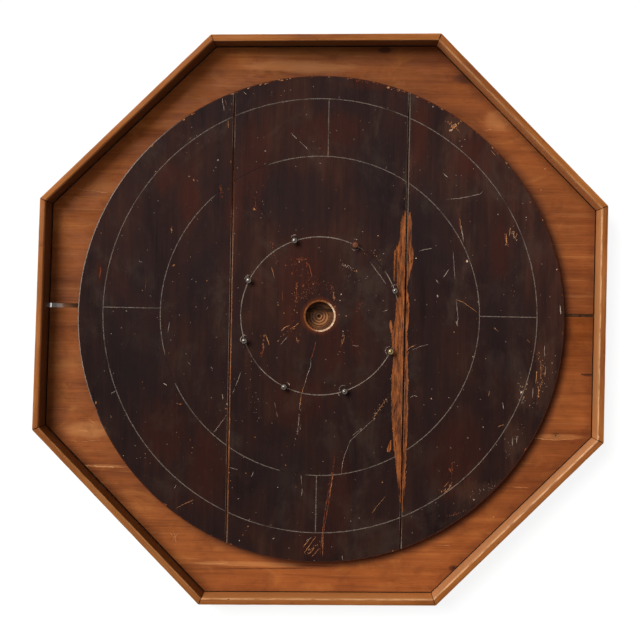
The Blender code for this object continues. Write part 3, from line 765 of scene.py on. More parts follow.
TORN_STRIDE = 1.8 * MM
TORN_RAGGED = 0.4
TORN_LIP = 0.1 * MM
TORN_BOWL = (0.45, 0.55)
TORN_LEAST = 0.12 * MM
TORN_RELIEF = 0.75
# The floor's fibres: waves in a metre across and along, where the noise is read, and share
TORN_FIBRES = ((620.0, 14.0, 1.7, 1.0), (1500.0, 40.0, 4.1, 0.6))


def torn_strip(bm, rows, deep, columns):
    """A strip with a fibrous floor torn out along the grain; rows are (y, left, right) pixels."""
    lefts = walk([spot(left, y) for y, left, right in rows], TORN_STRIDE)
    rights = [spot(right, y) for y, left, right in rows]
    rings = []
    for left in lefts:
        y = left.y
        right = rights[-1]
        for first, second in zip(rights, rights[1:]):
            if second.y <= y <= first.y:
                right = first.lerp(second, (first.y - y) / max(first.y - second.y, 1e-9))
                break
        start = left.x + dice.uniform(-TORN_RAGGED, TORN_RAGGED) * MM
        end = right.x + dice.uniform(-TORN_RAGGED, TORN_RAGGED) * MM
        end = max(end, start + TORN_RAGGED * MM)
        ring = [Vector((start - TORN_LIP, y, PLAY_TOP + LIFT))]
        for k in range(columns + 1):
            share = k / columns
            x = start + (end - start) * share
            bowl = deep * (TORN_BOWL[0] + TORN_BOWL[1] * math.sin(math.pi * share))
            ridge = 0.0
            for across, along, level, amount in TORN_FIBRES:
                ridge += amount * field.noise(Vector((x * across, y * along, level)))
            ring.append(Vector((x, y, PLAY_TOP - max(bowl + TORN_RELIEF * deep * ridge, TORN_LEAST))))
        ring.append(Vector((end + TORN_LIP, y, PLAY_TOP + LIFT)))
        rings.append(ring)
    tube(bm, rings, "torn")


def cutter_object(bm):
    bmesh.ops.recalc_face_normals(bm, faces=bm.faces)
    mesh = made_mesh(bm, "cutter")
    for kind in KINDS:
        mesh.materials.append(CUTS[kind])
    return linked("cutter", mesh)


def carve(piece, cutter):
    """Cuts the cutter's shapes out of a piece; the new faces keep the cutter's materials."""
    change = piece.modifiers.new("carve", "BOOLEAN")
    change.operation = "DIFFERENCE"
    change.solver = "EXACT"
    change.use_self = True
    change.material_mode = "TRANSFER"
    change.object = cutter
    graph = bpy.context.evaluated_depsgraph_get()
    mesh = bpy.data.meshes.new_from_object(piece.evaluated_get(graph))
    piece.modifiers.clear()
    old = piece.data
    piece.data = mesh
    bpy.data.meshes.remove(old)


def drop(cutter):
    mesh = cutter.data
    bpy.data.objects.remove(cutter)
    bpy.data.meshes.remove(mesh)


def dress(piece, node):
    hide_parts(node)
    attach(piece, "root")


# The playing disc

# Scratches and cracks: kind, width in mm, and the pixels that each runs through
STROKES = (
    ("red", 0.9, 316, 341, 314.6, 347, 312.6, 354, 310.6, 359),
    ("pale", 0.5, 311, 358, 310.6, 366, 307.2, 375, 304, 387),
    ("tan", 0.7, 304, 386, 301.5, 394, 300, 404, 299, 410),
    ("pale", 0.6, 299, 415, 298.6, 424, 297, 434),
    ("red", 1.2, 334.7, 455, 332.2, 477, 329.2, 497, 325, 522, 321.4, 545, 320, 554),
    ("tan", 0.7, 333, 474, 330.5, 490, 328.6, 500), ("red", 0.9, 330, 484, 325, 510, 320.5, 547),
    ("tan", 0.6, 323, 532, 322.6, 556),
    ("pale", 0.45, 375, 418, 366, 426, 350.6, 440.4, 345, 454, 342.4, 463, 341.2, 476),
    ("pale", 0.35, 362, 428, 352, 436), ("tan", 0.5, 387, 398, 380, 408, 373, 419),
    ("pale", 0.5, 290.8, 132.7, 297, 139.2), ("pale", 0.5, 299.5, 141.3, 308.6, 150),
    ("pale", 0.5, 446.5, 199.4, 458.8, 198.4, 470, 196.2, 480.2, 193.9, 483.3, 190.8),
    ("pale", 0.7, 442.4, 172.4, 448, 177.6), ("tan", 0.7, 459.8, 218.4, 460.8, 230),
    ("pale", 1, 461, 225, 463.5, 241.8), ("pale", 0.6, 419, 251, 425, 249.4, 432.2, 248.4),
    ("pale", 0.9, 443.5, 277.6, 448.6, 269.4), ("pale", 0.8, 435.3, 279.6, 439.4, 283.7),
    ("pale", 0.5, 453, 251, 454, 264, 454.7, 278.6),
    ("tan", 0.6, 454.7, 299, 462.9, 302, 470, 307, 477, 312.2),
    ("pale", 0.5, 456, 300, 458, 318, 457, 326), ("tan", 1.2, 506, 234.5, 506.6, 244),
    ("tan", 0.9, 510, 227.5, 509.4, 236), ("tan", 0.7, 514, 230.5, 513.4, 237.5),
    ("tan", 0.8, 517, 233, 515, 240), ("pale", 0.5, 213.3, 433.3, 220, 424, 226.6, 415.4),
    ("pale", 0.6, 240.8, 372, 237.6, 381, 235.4, 386), ("pale", 0.6, 234.6, 388, 232.7, 393.5),
    ("pale", 0.8, 222.4, 394, 222.6, 399.5), ("tan", 0.5, 175.5, 508.8, 184, 504, 193.9, 499.6),
    ("pale", 0.9, 251, 477.3, 253.6, 471.8), ("pale", 0.5, 227.6, 467, 237.8, 469.6),
    ("pale", 0.5, 301, 475, 301.6, 485), ("pale", 0.5, 302.4, 488, 301.6, 496),
    ("pale", 0.5, 274.5, 402, 275.6, 408), ("pale", 0.5, 276.4, 411, 277.6, 417),
    ("pale", 0.6, 222, 98, 224.3, 111), ("tan", 0.6, 224.6, 99, 226.6, 105),
    ("pale", 0.6, 243, 91.6, 246.4, 94.4), ("tan", 1, 271.4, 267.3, 273, 273, 274.5, 277.6),
    ("red", 0.8, 254.8, 196, 255.4, 207), ("red", 0.7, 146, 278.6, 145.4, 289.8),
    ("red", 1.4, 100.6, 267, 99.6, 279), ("pale", 0.6, 139, 261, 142, 262.2),
    ("red", 0.8, 296, 259, 308, 259.4), ("red", 0.9, 308.4, 263, 310.4, 270, 312, 277.6),
    ("red", 0.8, 296, 281.6, 296.4, 291, 295.6, 302), ("red", 0.7, 282, 290, 282.6, 301),
    ("tan", 0.9, 265, 333.6, 269.4, 345), ("red", 1, 264, 345, 262, 355),
    ("tan", 0.9, 281, 331, 285.8, 326.6, 289.6, 325.4),
    ("tan", 0.8, 289.8, 329, 294.6, 326.6, 299, 322.4), ("tan", 0.7, 296, 337, 298.6, 344),
    ("pale", 0.5, 280, 345, 288, 336), ("pale", 0.5, 370, 262, 379, 274, 386, 284),
    ("tan", 0.9, 404, 353, 411, 347, 416, 344.4), ("pale", 0.5, 412, 350, 420, 346.4, 428, 344.5),
    ("pale", 0.6, 409.8, 397.6, 414, 395.6, 418, 396.5), ("pale", 0.6, 383, 312, 388, 309.6),
    ("tan", 0.8, 488.6, 396.4, 489.4, 391), ("pale", 0.8, 502.6, 402, 503.4, 409),
    ("tan", 1, 493.6, 327.4, 498, 331.2), ("tan", 0.9, 527, 339.4, 530, 342.6),
    ("pale", 0.8, 456, 321, 458, 326.4), ("tan", 0.9, 497.6, 427, 503.7, 424.4),
    ("tan", 0.5, 372, 512.9, 378.6, 504, 385.3, 496.5), ("tan", 0.8, 304, 553, 311, 543, 316, 536.6),
    ("tan", 0.7, 308, 555, 315, 547), ("tan", 0.7, 311.6, 557, 319.4, 548),
    ("pale", 0.7, 306, 541, 312, 537), ("tan", 0.7, 303, 547, 309, 540),
    ("tan", 0.8, 442.6, 495, 448.6, 489, 452, 482), ("tan", 0.6, 445, 492.4, 451.6, 485),
    ("tan", 0.6, 444, 487, 449, 481.6), ("tan", 0.8, 490.8, 150.4, 495.6, 155.6),
    ("tan", 0.8, 328.2, 145.4, 328.6, 152.6, 327.4, 156), ("pale", 0.9, 342.2, 555.2, 342.6, 560),
    ("pale", 0.7, 111, 393.4, 115.6, 391), ("pale", 0.9, 163, 383, 167, 385.6),
    ("pale", 0.5, 167.6, 333, 169.4, 322), ("pale", 0.5, 206, 310, 208, 306.6),
    ("tan", 0.9, 172, 226.4, 171.6, 232.8), ("tan", 0.7, 228, 120, 228.4, 128),
    ("pale", 0.6, 188, 362, 190, 364.4), ("pale", 0.6, 352, 345, 358, 346),
    ("tan", 0.9, 341.4, 345, 344.6, 336.4), ("pale", 0.8, 174.4, 488.6, 176, 485),
    ("tan", 0.8, 536.4, 371, 536, 384), ("tan", 0.7, 541, 362, 540.6, 379),
    ("pale", 0.6, 544.6, 346, 544.2, 358), ("tan", 0.7, 545.6, 366, 545, 377),
    ("tan", 0.6, 538.6, 386, 538, 398), ("pale", 0.6, 533, 388, 532.6, 398),
    ("pale", 0.8, 512.6, 438, 512.2, 446), ("pale", 0.6, 517, 436, 516.6, 443),
    ("pale", 1, 560.2, 305, 560.6, 314),
)
# Small pits: kind, size in mm, drawn-out share, turn in degrees, pixel
CHIPS = (
    ("bright", 2.6, 1.2, 80, 467, 261.2), ("tan", 4.6, 1.8, 25, 454, 126),
    ("bright", 3, 1.7, 20, 450.6, 130), ("tan", 2.6, 1.5, 60, 458.6, 123),
    ("pale", 1.8, 1, 0, 459.8, 140.8), ("tan", 3, 1.5, 10, 388, 87.6), ("pale", 1.7, 1, 0, 433, 106.5),
    ("pale", 1.8, 1.3, 60, 265.3, 151), ("bright", 1.6, 1.8, 90, 230.8, 161.5),
    ("pale", 1.5, 1, 0, 237.3, 167.8), ("pale", 1.6, 1.4, 20, 218, 160),
    ("tan", 2.2, 1.7, 130, 193.8, 180), ("pale", 1.6, 1.4, 50, 189, 176.5),
    ("tan", 1.9, 1, 0, 155.7, 171.4), ("red", 3.4, 1.5, 90, 220.4, 188),
    ("bright", 1.6, 1.2, 90, 228.6, 188.8), ("pale", 1.6, 1, 0, 236.7, 208),
    ("tan", 2.8, 1.2, 40, 254, 209), ("bright", 1.3, 1, 0, 253.6, 207.6), ("pale", 1.4, 1, 0, 158, 201),
    ("pale", 1.4, 1, 0, 154, 213), ("tan", 2, 1.6, 130, 171.6, 229.6),
    ("tan", 3, 1.3, 10, 173.5, 265.3), ("pale", 1.4, 1, 0, 101, 233),
    ("bright", 1.5, 1.1, 0, 207, 280.6), ("pale", 1.4, 1.2, 0, 126.5, 311),
    ("bright", 2, 1.3, 80, 285.7, 265.3), ("tan", 1.8, 1.3, 20, 299, 262),
    ("pale", 1.5, 1, 0, 375, 250), ("bright", 1.6, 1, 0, 378, 235.7), ("pale", 1.5, 1, 0, 342, 265),
    ("bright", 1.5, 1.2, 0, 347, 266.4), ("pale", 1.4, 1, 0, 350.6, 267.6),
    ("bright", 1.5, 2.2, 120, 356.7, 270.6), ("bright", 1.8, 1, 0, 416, 258),
    ("pale", 1.5, 1, 0, 497.6, 214.3), ("tan", 1.8, 1.2, 0, 530, 202),
    ("bright", 2.2, 2, 10, 180.6, 404), ("bright", 1.8, 1, 0, 255, 437.3),
    ("bright", 2, 1, 0, 246, 473), ("tan", 1.8, 1, 0, 144.9, 453.7), ("pale", 1.4, 1, 0, 123.5, 455.7),
    ("tan", 1.5, 1, 0, 285.7, 464.9), ("pale", 1.4, 1, 0, 277.6, 487.3),
    ("bright", 1.4, 1, 0, 243, 535), ("pale", 1.5, 1, 0, 239.4, 540.4),
    ("pale", 1.6, 1.8, 10, 273.5, 538.4), ("tan", 1.6, 1.4, 0, 248, 526.5),
    ("bright", 1.2, 1.6, 60, 386, 399.4), ("tan", 1.3, 1.4, 120, 382.6, 406.4),
    ("pale", 1.1, 1.7, 40, 380, 409.6), ("tan", 1.2, 1.8, 30, 375.6, 413.4),
    ("pale", 1.1, 1.2, 0, 374.4, 418.6), ("pale", 1.5, 1, 0, 343, 331),
    ("tan", 1.8, 1, 0, 382.2, 482.2), ("bright", 1.9, 1.4, 110, 431.2, 398.6),
    ("bright", 1.5, 1, 0, 472.7, 356.7), ("pale", 2, 1, 0, 468, 438), ("bright", 1.6, 1, 0, 483.3, 427),
    ("bright", 2, 1, 0, 527, 384), ("bright", 2.2, 1.8, 50, 521.6, 392), ("tan", 2, 1.2, 0, 524, 397),
    ("bright", 1.6, 1, 0, 519.4, 400), ("tan", 1.8, 1.3, 70, 526, 389),
    ("bright", 1.6, 1, 0, 522.6, 386.6), ("pale", 1.8, 1.3, 0, 474, 499.6),
    ("red", 3.6, 1.4, 90, 450, 470), ("tan", 2.4, 1.5, 90, 96, 402.7),
    ("bright", 1.7, 1, 0, 556.7, 269.4), ("bright", 2, 1.2, 90, 164, 350),
    ("bright", 1.5, 1, 0, 306.6, 298.6), ("bright", 1.9, 1.2, 0, 296.8, 302),
    ("tan", 1.6, 1, 0, 319, 294.4), ("bright", 1.5, 1, 0, 341, 294.2),
    ("tan", 1.8, 2.2, 110, 334, 297.4), ("pale", 1.6, 1.6, 0, 340, 300.6),
    ("tan", 1.5, 1, 0, 339, 314.6), ("tan", 1.6, 1, 0, 346, 316), ("tan", 1.6, 1, 0, 297, 312.6),
    ("bright", 2, 2, 30, 293.4, 328.6), ("tan", 1.8, 1, 0, 298.6, 340.6),
    ("pale", 2.6, 1.6, 100, 227.2, 404), ("bright", 2, 1.6, 40, 229, 409),
    ("tan", 2, 1, 0, 225.6, 408.6), ("red", 3, 1.3, 60, 292, 273), ("red", 3.4, 1.6, 80, 303, 285),
    ("tan", 1.5, 1, 0, 278, 305), ("tan", 1.4, 1, 0, 284, 313), ("tan", 1.6, 1, 0, 313, 284),
    ("bright", 1.2, 1, 0, 271, 299), ("bright", 1.5, 1.2, 0, 454, 332), ("pale", 1.5, 1, 0, 415, 300),
    ("pale", 2.2, 1.8, 100, 437.3, 296),
)
# Torn strips along the right-hand joint: rows of y, left and right pixels, from the top down
TORN_LEFT = (
    (211, 405.2, 406.2), (216, 403.6, 406.2), (221, 401.4, 406), (230, 400.6, 406), (240, 400, 405.8),
    (245, 398.6, 405.8), (249, 396.8, 405.6), (262, 397, 405.6), (284, 397.2, 405.4),
    (289, 398.8, 405.4), (297, 398.4, 405.2), (304, 396.6, 405.2), (316, 396.4, 405), (325, 394.8, 405),
    (334, 392.6, 404.9), (345, 392.4, 404.9), (352, 394.4, 404.8), (366, 393.2, 404.7),
    (380, 392.6, 404.6), (395, 392.2, 404.5), (420, 392.8, 404.3), (436, 394.2, 404.2), (449, 395, 404),
    (457, 396, 404), (470, 397.4, 403.9), (482, 398.6, 403.8), (500, 400.4, 403.5), (512, 402.4, 403.3),
)
TORN_RIGHT = (
    (212, 409.8, 410.8), (218, 408.2, 411.6), (226, 406.4, 412), (246, 406.2, 412.2),
    (250, 406.2, 413.6), (262, 406, 413.8), (270, 405.9, 411.4), (279, 405.8, 409.6),
    (288, 405.8, 407.2), (296, 405.6, 409.2), (306, 405.6, 409.8), (322, 405.4, 409.4),
    (332, 405.3, 407.6), (346, 405.2, 409), (360, 405.1, 408.4), (382, 405, 409.4), (396, 404.9, 408.6),
    (412, 404.8, 409), (430, 404.6, 408.6), (446, 404.5, 407.8), (458, 404.4, 407.4),
    (470, 404.3, 406.2), (484, 404.2, 406.8), (496, 404, 404.8),
)
SLIVERS = (
    ((250, 395, 396.2), (262, 394.2, 395.8), (276, 393.8, 395.6), (281, 394, 395.2)),
    ((320, 390.8, 391.6), (326, 389.8, 393), (333, 391.6, 393.2)),
    ((440, 391.4, 392.6), (448, 388.6, 392.4), (452, 388, 391.2)),
)
# Dark splits inside the torn strips, and how far they start below the surface
SPLITS = (
    (397.2, 250, 396.8, 266, 396.6, 284), (402.6, 222, 401.8, 236, 402.4, 247),
    (400.4, 292, 399.6, 310, 400.2, 318), (394.6, 334, 395, 348, 396.4, 358),
    (399, 255, 399.6, 274, 399.2, 287), (402.2, 300, 402, 322), (398.4, 340, 397.6, 352, 398.2, 366),
    (395.6, 372, 396.2, 384, 395.8, 393), (409.4, 252, 409, 262), (407.6, 300, 407.4, 316),
    (406.6, 384, 406.2, 404), (399.4, 384, 400, 396), (396.6, 440, 397.2, 452),
    (405.8, 428, 405.6, 446),
)
SPLIT_DROP = 0.4 * MM
# How far the joint lies beside its place in the photograph: pixel rows, and pixels to the right
JOINT_DRIFT = (
    (93, 0), (230, -0.4), (360, -0.8), (450, -1.2), (545, -0.8),
)
# Wear along the two joints: kind, width and offset in mm from the joint's right edge, pixel rows
LEFT_JOINT_WEAR = (
    ("red", 0.8, 0.5, 95, 150), ("red", 1, 0.6, 158, 215), ("bare", 1, 0.6, 222, 290),
    ("bare", 1.3, 0.8, 290, 402), ("bare", 1.5, 0.9, 410, 470), ("bare", 1.2, 0.7, 474, 540),
    ("tan", 0.5, 0.3, 250, 300), ("tan", 0.6, 0.3, 310, 370), ("tan", 0.6, 0.3, 430, 520),
)
RIGHT_JOINT_WEAR = (
    ("pale", 0.6, 0.8, 93, 130), ("pale", 0.6, 0.7, 134, 176), ("pale", 0.6, 0.8, 180, 206),
    ("tan", 0.5, -1.3, 216, 262), ("tan", 0.5, -1.2, 268, 330), ("tan", 0.5, -1.3, 336, 350),
    ("pale", 0.5, 0.8, 462, 505), ("tan", 0.5, -1.2, 470, 512), ("tan", 0.5, 0.6, 515, 543),
    ("tan", 0.4, -1.2, 518, 540),
)
JOINT_LINE_ROWS = range(212, 546, 37)
# Broken streaks, each a run of small pits: kind, size in mm, count, spread in mm, pixels
TRAILS = (
    ("red", 1.1, 26, 1.6, 306, 262, 308, 278, 310, 294),
    ("red", 1, 16, 1.8, 296, 262, 297, 282, 295, 304),
    ("tan", 0.9, 14, 1.4, 297, 284, 296, 300, 294, 312),
    ("red", 0.9, 14, 3, 288, 258, 300, 258, 312, 260),
    ("red", 1.1, 22, 2.6, 331, 286, 334, 296, 338, 304), ("tan", 0.9, 14, 1.6, 333, 292, 334, 300),
    ("red", 1, 18, 3, 262, 335, 264, 348, 260, 358), ("tan", 0.9, 10, 1.2, 264, 334, 263, 350),
    ("red", 0.9, 20, 3.2, 300, 300, 306, 294, 316, 291),
    ("tan", 0.8, 12, 2, 292, 330, 284, 334, 277, 342),
    ("tan", 0.8, 12, 1.2, 343, 334, 341, 344, 339, 352), ("red", 0.9, 12, 2, 271, 240, 276, 262),
    ("bright", 0.9, 10, 2.6, 284, 262, 290, 266, 303, 258), ("tan", 0.8, 9, 2, 342, 264, 357, 272),
    ("red", 1, 12, 1.6, 255, 196, 256, 212), ("red", 1, 14, 3, 219, 184, 222, 196),
    ("tan", 0.6, 22, 4.4, 388, 396, 380, 406, 372, 420), ("pale", 0.6, 12, 4, 386, 398, 376, 414),
    ("tan", 0.9, 18, 2.6, 305, 553, 322, 540), ("red", 1.1, 20, 2, 331, 470, 327, 500, 321, 545),
    ("tan", 0.9, 18, 2.4, 505, 233, 507, 246), ("bright", 0.8, 12, 2.6, 511, 230, 516, 240),
    ("tan", 1, 22, 3.4, 448, 122, 459, 131), ("bright", 0.9, 10, 2.6, 450, 130, 457, 124),
    ("tan", 0.9, 26, 3, 537, 350, 543, 372, 538, 400), ("pale", 0.9, 24, 3.4, 519, 384, 523, 402),
    ("red", 1.1, 26, 2, 355, 81, 372, 82, 388, 87), ("tan", 1, 16, 1.8, 386, 86, 404, 92),
    ("red", 1, 18, 3, 448, 516, 466, 510), ("tan", 0.9, 12, 2.4, 442, 493, 453, 482),
    ("pale", 0.8, 12, 3, 341, 264, 352, 268), ("tan", 0.8, 16, 1.6, 331, 316, 335, 306),
    ("red", 0.9, 12, 2.4, 357, 312, 362, 300), ("tan", 0.8, 10, 3.6, 372, 250, 380, 262),
    ("pale", 0.8, 16, 3.4, 300, 404, 298, 436), ("red", 1, 14, 2.4, 453, 462, 451, 478),
    ("pale", 0.7, 34, 9, 548, 352, 545, 380, 534, 408), ("tan", 0.7, 16, 8, 546, 350, 536, 404),
    ("pale", 0.6, 26, 8, 520, 430, 506, 458), ("pale", 0.7, 24, 7, 468, 494, 494, 486),
    ("red", 0.8, 40, 11, 300, 276, 320, 286, 338, 292), ("tan", 0.6, 24, 12, 296, 298, 308, 292),
    ("red", 0.7, 26, 10, 292, 322, 300, 336), ("pale", 0.6, 18, 14, 340, 262, 360, 290),
    ("red", 0.7, 26, 8, 345, 330, 360, 352), ("pale", 0.6, 20, 16, 250, 380, 262, 420),
)
# Worn arcs beside the posts: pixel of the post, radius in mm, first and last angle in degrees
POST_SCARS = (
    (294.8, 238.8, 5.2, 70, 165), (355.5, 243.6, 5.6, 60, 110), (355.5, 243.6, 8.4, 230, 305),
    (394.8, 289, 5.6, 60, 150), (390, 351, 5.9, 95, 235), (343.9, 389.7, 5.8, 60, 235),
    (285.2, 387.3, 6.4, 20, 75), (244.5, 339.4, 5.4, 60, 250), (250.6, 279.4, 5.8, 95, 215),
    (250.6, 279.4, 7.6, 120, 180), (343.9, 389.7, 9.2, 205, 235),
)

TRAIL_STRIDE = 0.4 * MM
TRAIL_SPREAD = 0.4
TRAIL_SIZES = (0.5, 1.15)
TRAIL_LENGTHS = (1.0, 2.6)
TRAIL_TURN = 0.7
SCAR_STEPS = 8
SCAR_REACHES = (0.93, 1.07)
SCAR_WIDTHS = (0.5, 0.75)
SPLINTER_TURN = 0.12
SPLINTER_PIT_SHARE = 0.45
PIT_EDGES = (0.1, 0.9)
PIT_SIZES = (0.6, 1.1)
PIT_LENGTHS = (2.0, 5.0)
SPLINTER_SIZES = (0.8, 1.7)
SPLINTER_LENGTHS = (2.0, 4.5)


def beside_joint(edge, offset, row):
    """A point beside a joint of the disc, at a pixel row of the photograph."""
    return Vector((edge + offset * MM, spot(IMAGE_WIDTH / 2, row).y, PLAY_TOP))


def drift(row):
    """How far the right-hand joint lies beside the photograph's at a pixel row."""
    for (start, first), (end, last) in zip(JOINT_DRIFT, JOINT_DRIFT[1:]):
        if row <= end:
            return first + (last - first) * max(0.0, row - start) / (end - start)
    return JOINT_DRIFT[-1][1]


def moved(rows):
    return tuple((y, left + drift(y), right + drift(y)) for y, left, right in rows)


def trail(bm, kind, size, count, spread, points):
    """A run of small pits scattered along a path."""
    path = walk(points, TRAIL_STRIDE)
    for _ in range(count):
        place = path[dice.randrange(len(path))]
        off = Vector((dice.gauss(0.0, TRAIL_SPREAD), dice.gauss(0.0, TRAIL_SPREAD), 0.0)) * spread * MM
        chip(bm, kind, size * dice.uniform(*TRAIL_SIZES) * MM, place + off, dice.uniform(*TRAIL_LENGTHS),
             QUARTER + dice.uniform(-TRAIL_TURN, TRAIL_TURN))


def scar(bm, px, py, radius, first, last):
    """A worn arc round the foot of a post."""
    points = []
    for k in range(SCAR_STEPS + 1):
        angle = math.radians(first + (last - first) * k / SCAR_STEPS)
        reach = radius * dice.uniform(*SCAR_REACHES) * MM
        points.append(spot(px, py) + Vector((math.cos(angle), math.sin(angle), 0.0)) * reach)
    scratch(bm, "pale", dice.uniform(*SCAR_WIDTHS) * MM, points, 0.3, 0.3, 1.2 * MM)


def splinter(bm, rows, count):
    """Dark pits inside a torn strip, and splinters broken out of its two edges."""
    for _ in range(count):
        k = dice.randrange(len(rows) - 1)
        share = dice.random()
        y, left, right = [a + (b - a) * share for a, b in zip(rows[k], rows[k + 1])]
        turn = QUARTER + dice.uniform(-SPLINTER_TURN, SPLINTER_TURN)
        if dice.random() < SPLINTER_PIT_SHARE:
            place = spot(left + (right - left) * dice.uniform(*PIT_EDGES), y) - UP * SPLIT_DROP
            chip(bm, "dark", dice.uniform(*PIT_SIZES) * MM, place, dice.uniform(*PIT_LENGTHS), turn, 0.7)
        else:
            place = spot(dice.choice((left, right)), y)
            chip(bm, "torn", dice.uniform(*SPLINTER_SIZES) * MM, place,
                 dice.uniform(*SPLINTER_LENGTHS), turn)


def round_place(middle, turn, reach):
    """A point on the playing surface, at an angle and a reach from a middle."""
    return middle + Vector((reach * math.cos(turn), reach * math.sin(turn), PLAY_TOP))


SPECKS = 330
SPECK_REACH = 0.3
SPECK_KINDS = ("pale", "pale", "pale", "tan", "red")
SPECK_SIZES = (0.35, 0.85)
SPECK_LENGTHS = (1.0, 2.2)
RIM_CHIPS = 70
RIM_BACK_SHARE = 0.6
RIM_BACK = (35.0, 145.0)
RIM_INSETS = (0.0, 1.8)
RIM_KINDS = ("red", "red", "tan")
RIM_SIZES = (1.4, 3.0)
RIM_LENGTHS = (1.2, 2.6)
RIM_TURN = 0.3


def disc_cutter():
    """Every scratch, pit and torn strip of the playing surface, in one mesh."""
    bm = bmesh.new()
    left_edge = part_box("disc_plank_centre")[0].x
    right_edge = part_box("disc_plank_right")[0].x
    for kind, width, *path in STROKES:
        scratch(bm, kind, width * MM, spots(path))
    for edge, wear in ((left_edge, LEFT_JOINT_WEAR), (right_edge, RIGHT_JOINT_WEAR)):
        for kind, width, offset, *rows in wear:
            scratch(bm, kind, width * MM, [beside_joint(edge, offset, row) for row in rows], 0.4, 0.25)
    line = [beside_joint(right_edge, -0.5, row) for row in JOINT_LINE_ROWS]
    scratch(bm, "dark", 1.5 * MM, line, 1.5, 0.12)
    for path in SPLITS:
        line = [spot(x + drift(y), y) - UP * SPLIT_DROP for x, y in pairs(path)]
        scratch(bm, "dark", 0.7 * MM, line, 1.6, 0.4)
    for kind, size, count, spread, *path in TRAILS:
        trail(bm, kind, size, count, spread, spots(path))
    for values in POST_SCARS:
        scar(bm, *values)
    for kind, size, longer, turn, px, py in CHIPS:
        chip(bm, kind, size * MM, spot(px, py), longer, math.radians(turn))
    torn_strip(bm, moved(TORN_LEFT), 1.0 * MM, 14)
    torn_strip(bm, moved(TORN_RIGHT), 0.8 * MM, 8)
    splinter(bm, moved(TORN_LEFT), 90)
    splinter(bm, moved(TORN_RIGHT), 60)
    for rows in SLIVERS:
        torn_strip(bm, moved(rows), 0.6 * MM, 4)
    for _ in range(SPECKS):
        turn = dice.uniform(0.0, math.tau)
        reach = SPECK_REACH * math.sqrt(dice.random())
        if reach > HOLE_RADIUS + 6 * MM:
            chip(bm, dice.choice(SPECK_KINDS), dice.uniform(*SPECK_SIZES) * MM,
                 round_place(PLAY_MIDDLE, turn, reach), dice.uniform(*SPECK_LENGTHS),
                 dice.uniform(0.0, math.pi))
    for _ in range(RIM_CHIPS):
        turn = dice.uniform(*RIM_BACK) if dice.random() < RIM_BACK_SHARE else dice.uniform(0.0, 360.0)
        turn = math.radians(turn)
        place = round_place(DISC_MIDDLE, turn, DISC_RADIUS - dice.uniform(*RIM_INSETS) * MM)
        chip(bm, dice.choice(RIM_KINDS), dice.uniform(*RIM_SIZES) * MM, place, dice.uniform(*RIM_LENGTHS),
             turn + QUARTER + dice.uniform(-RIM_TURN, RIM_TURN))
    return cutter_object(bm)


# Faces of the planks by how far they lie under the surface and from the middles
CUT_DEPTHS = (0.02 * MM, 1.4 * MM)
LINE_FLOOR = 0.52 * MM
HOLE_WEAR = 2.0 * MM
DISC_ROUND = 1.25 * MM
# Name, and the grain's shift and turn
PLANKS = (("left", 1.0, 0.012), ("centre", 7.0, -0.006), ("right", 13.0, 0.01))


def mark_planks(mesh, line, rim, bright):
    """Gives the scribed lines, the disc's rounded rim and the hole's worn rim, with their painted
    highlights, their own slots.
    """
    for polygon in mesh.polygons:
        middle = polygon.center
        below = PLAY_TOP - middle.z
        if CUT_DEPTHS[0] < below < CUT_DEPTHS[1]:
            if (middle - PLAY_MIDDLE).to_2d().length < HOLE_RADIUS + HOLE_WEAR:
                polygon.material_index = bright
            elif (middle - DISC_MIDDLE).to_2d().length > DISC_RADIUS - DISC_ROUND:
                polygon.material_index = rim
            elif below < LINE_FLOOR:
                polygon.material_index = line


def make_disc():
    cutter = disc_cutter()
    marks = (scribed_line(), rim_varnish(), CUTS["bright"])
    for name, shift, turn in PLANKS:
        node = "disc_plank_" + name
        piece = solid_copy(node)
        clothe(piece.data, disc_wood(name, shift, turn), *marks)
        mark_planks(piece.data, 1, 2, 3)
        carve(piece, cutter)
        soften(piece.data, 25.0)
        dress(piece, node)
    drop(cutter)


# The tray's floor

FLOOR_STROKES = (
    ("fresh", 1, 76.5, 188.8, 90, 190.4, 108, 192.9),
    ("fresh", 1.2, 83.7, 465, 100, 466.4, 124.5, 467.3),
    ("fresh", 0.8, 533, 438, 546, 439.4, 556, 440, 579, 438.4),
    ("fresh", 0.6, 70, 441, 84, 441.6, 100, 440), ("fresh", 0.6, 78, 430, 92, 432),
    ("fresh", 0.6, 88, 419, 96, 424), ("fresh", 0.6, 169, 532, 175, 537.6),
    ("fresh", 0.6, 172, 541, 178, 533), ("fresh", 0.6, 173.4, 530.6, 176.4, 543),
    ("fresh", 0.7, 194, 562.6, 228, 563.6), ("fresh", 0.5, 512, 487, 528, 487.6),
    ("fresh", 0.5, 437, 545, 450, 545.6), ("fresh", 0.5, 484, 131, 494, 128.6),
    ("fresh", 0.5, 500, 128, 505, 129.6), ("dark", 0.6, 214, 568, 260, 568.6, 320, 568),
    ("dark", 0.5, 579, 375, 588, 374.6, 596, 375), ("dark", 0.5, 95, 356, 120, 356.6),
)
FLOOR_CHIPS = (
    ("fresh", 1.8, 1.6, 120, 493.5, 517), ("tan", 1.6, 1, 0, 520.8, 506),
    ("dark", 2.4, 1.4, 30, 453.7, 568), ("dark", 1.8, 1.4, 0, 555.7, 435.6),
    ("fresh", 1.5, 1, 0, 541, 190), ("fresh", 1.5, 1.6, 0, 545, 169), ("dark", 1.8, 1.5, 0, 582, 374),
    ("tan", 1.8, 1.4, 60, 70, 384),
)
GRIME_WIDTH = 1.1 * MM
GRIME_REACH = 1.5 * MM
FLAT_HEIGHT = 0.01 * MM
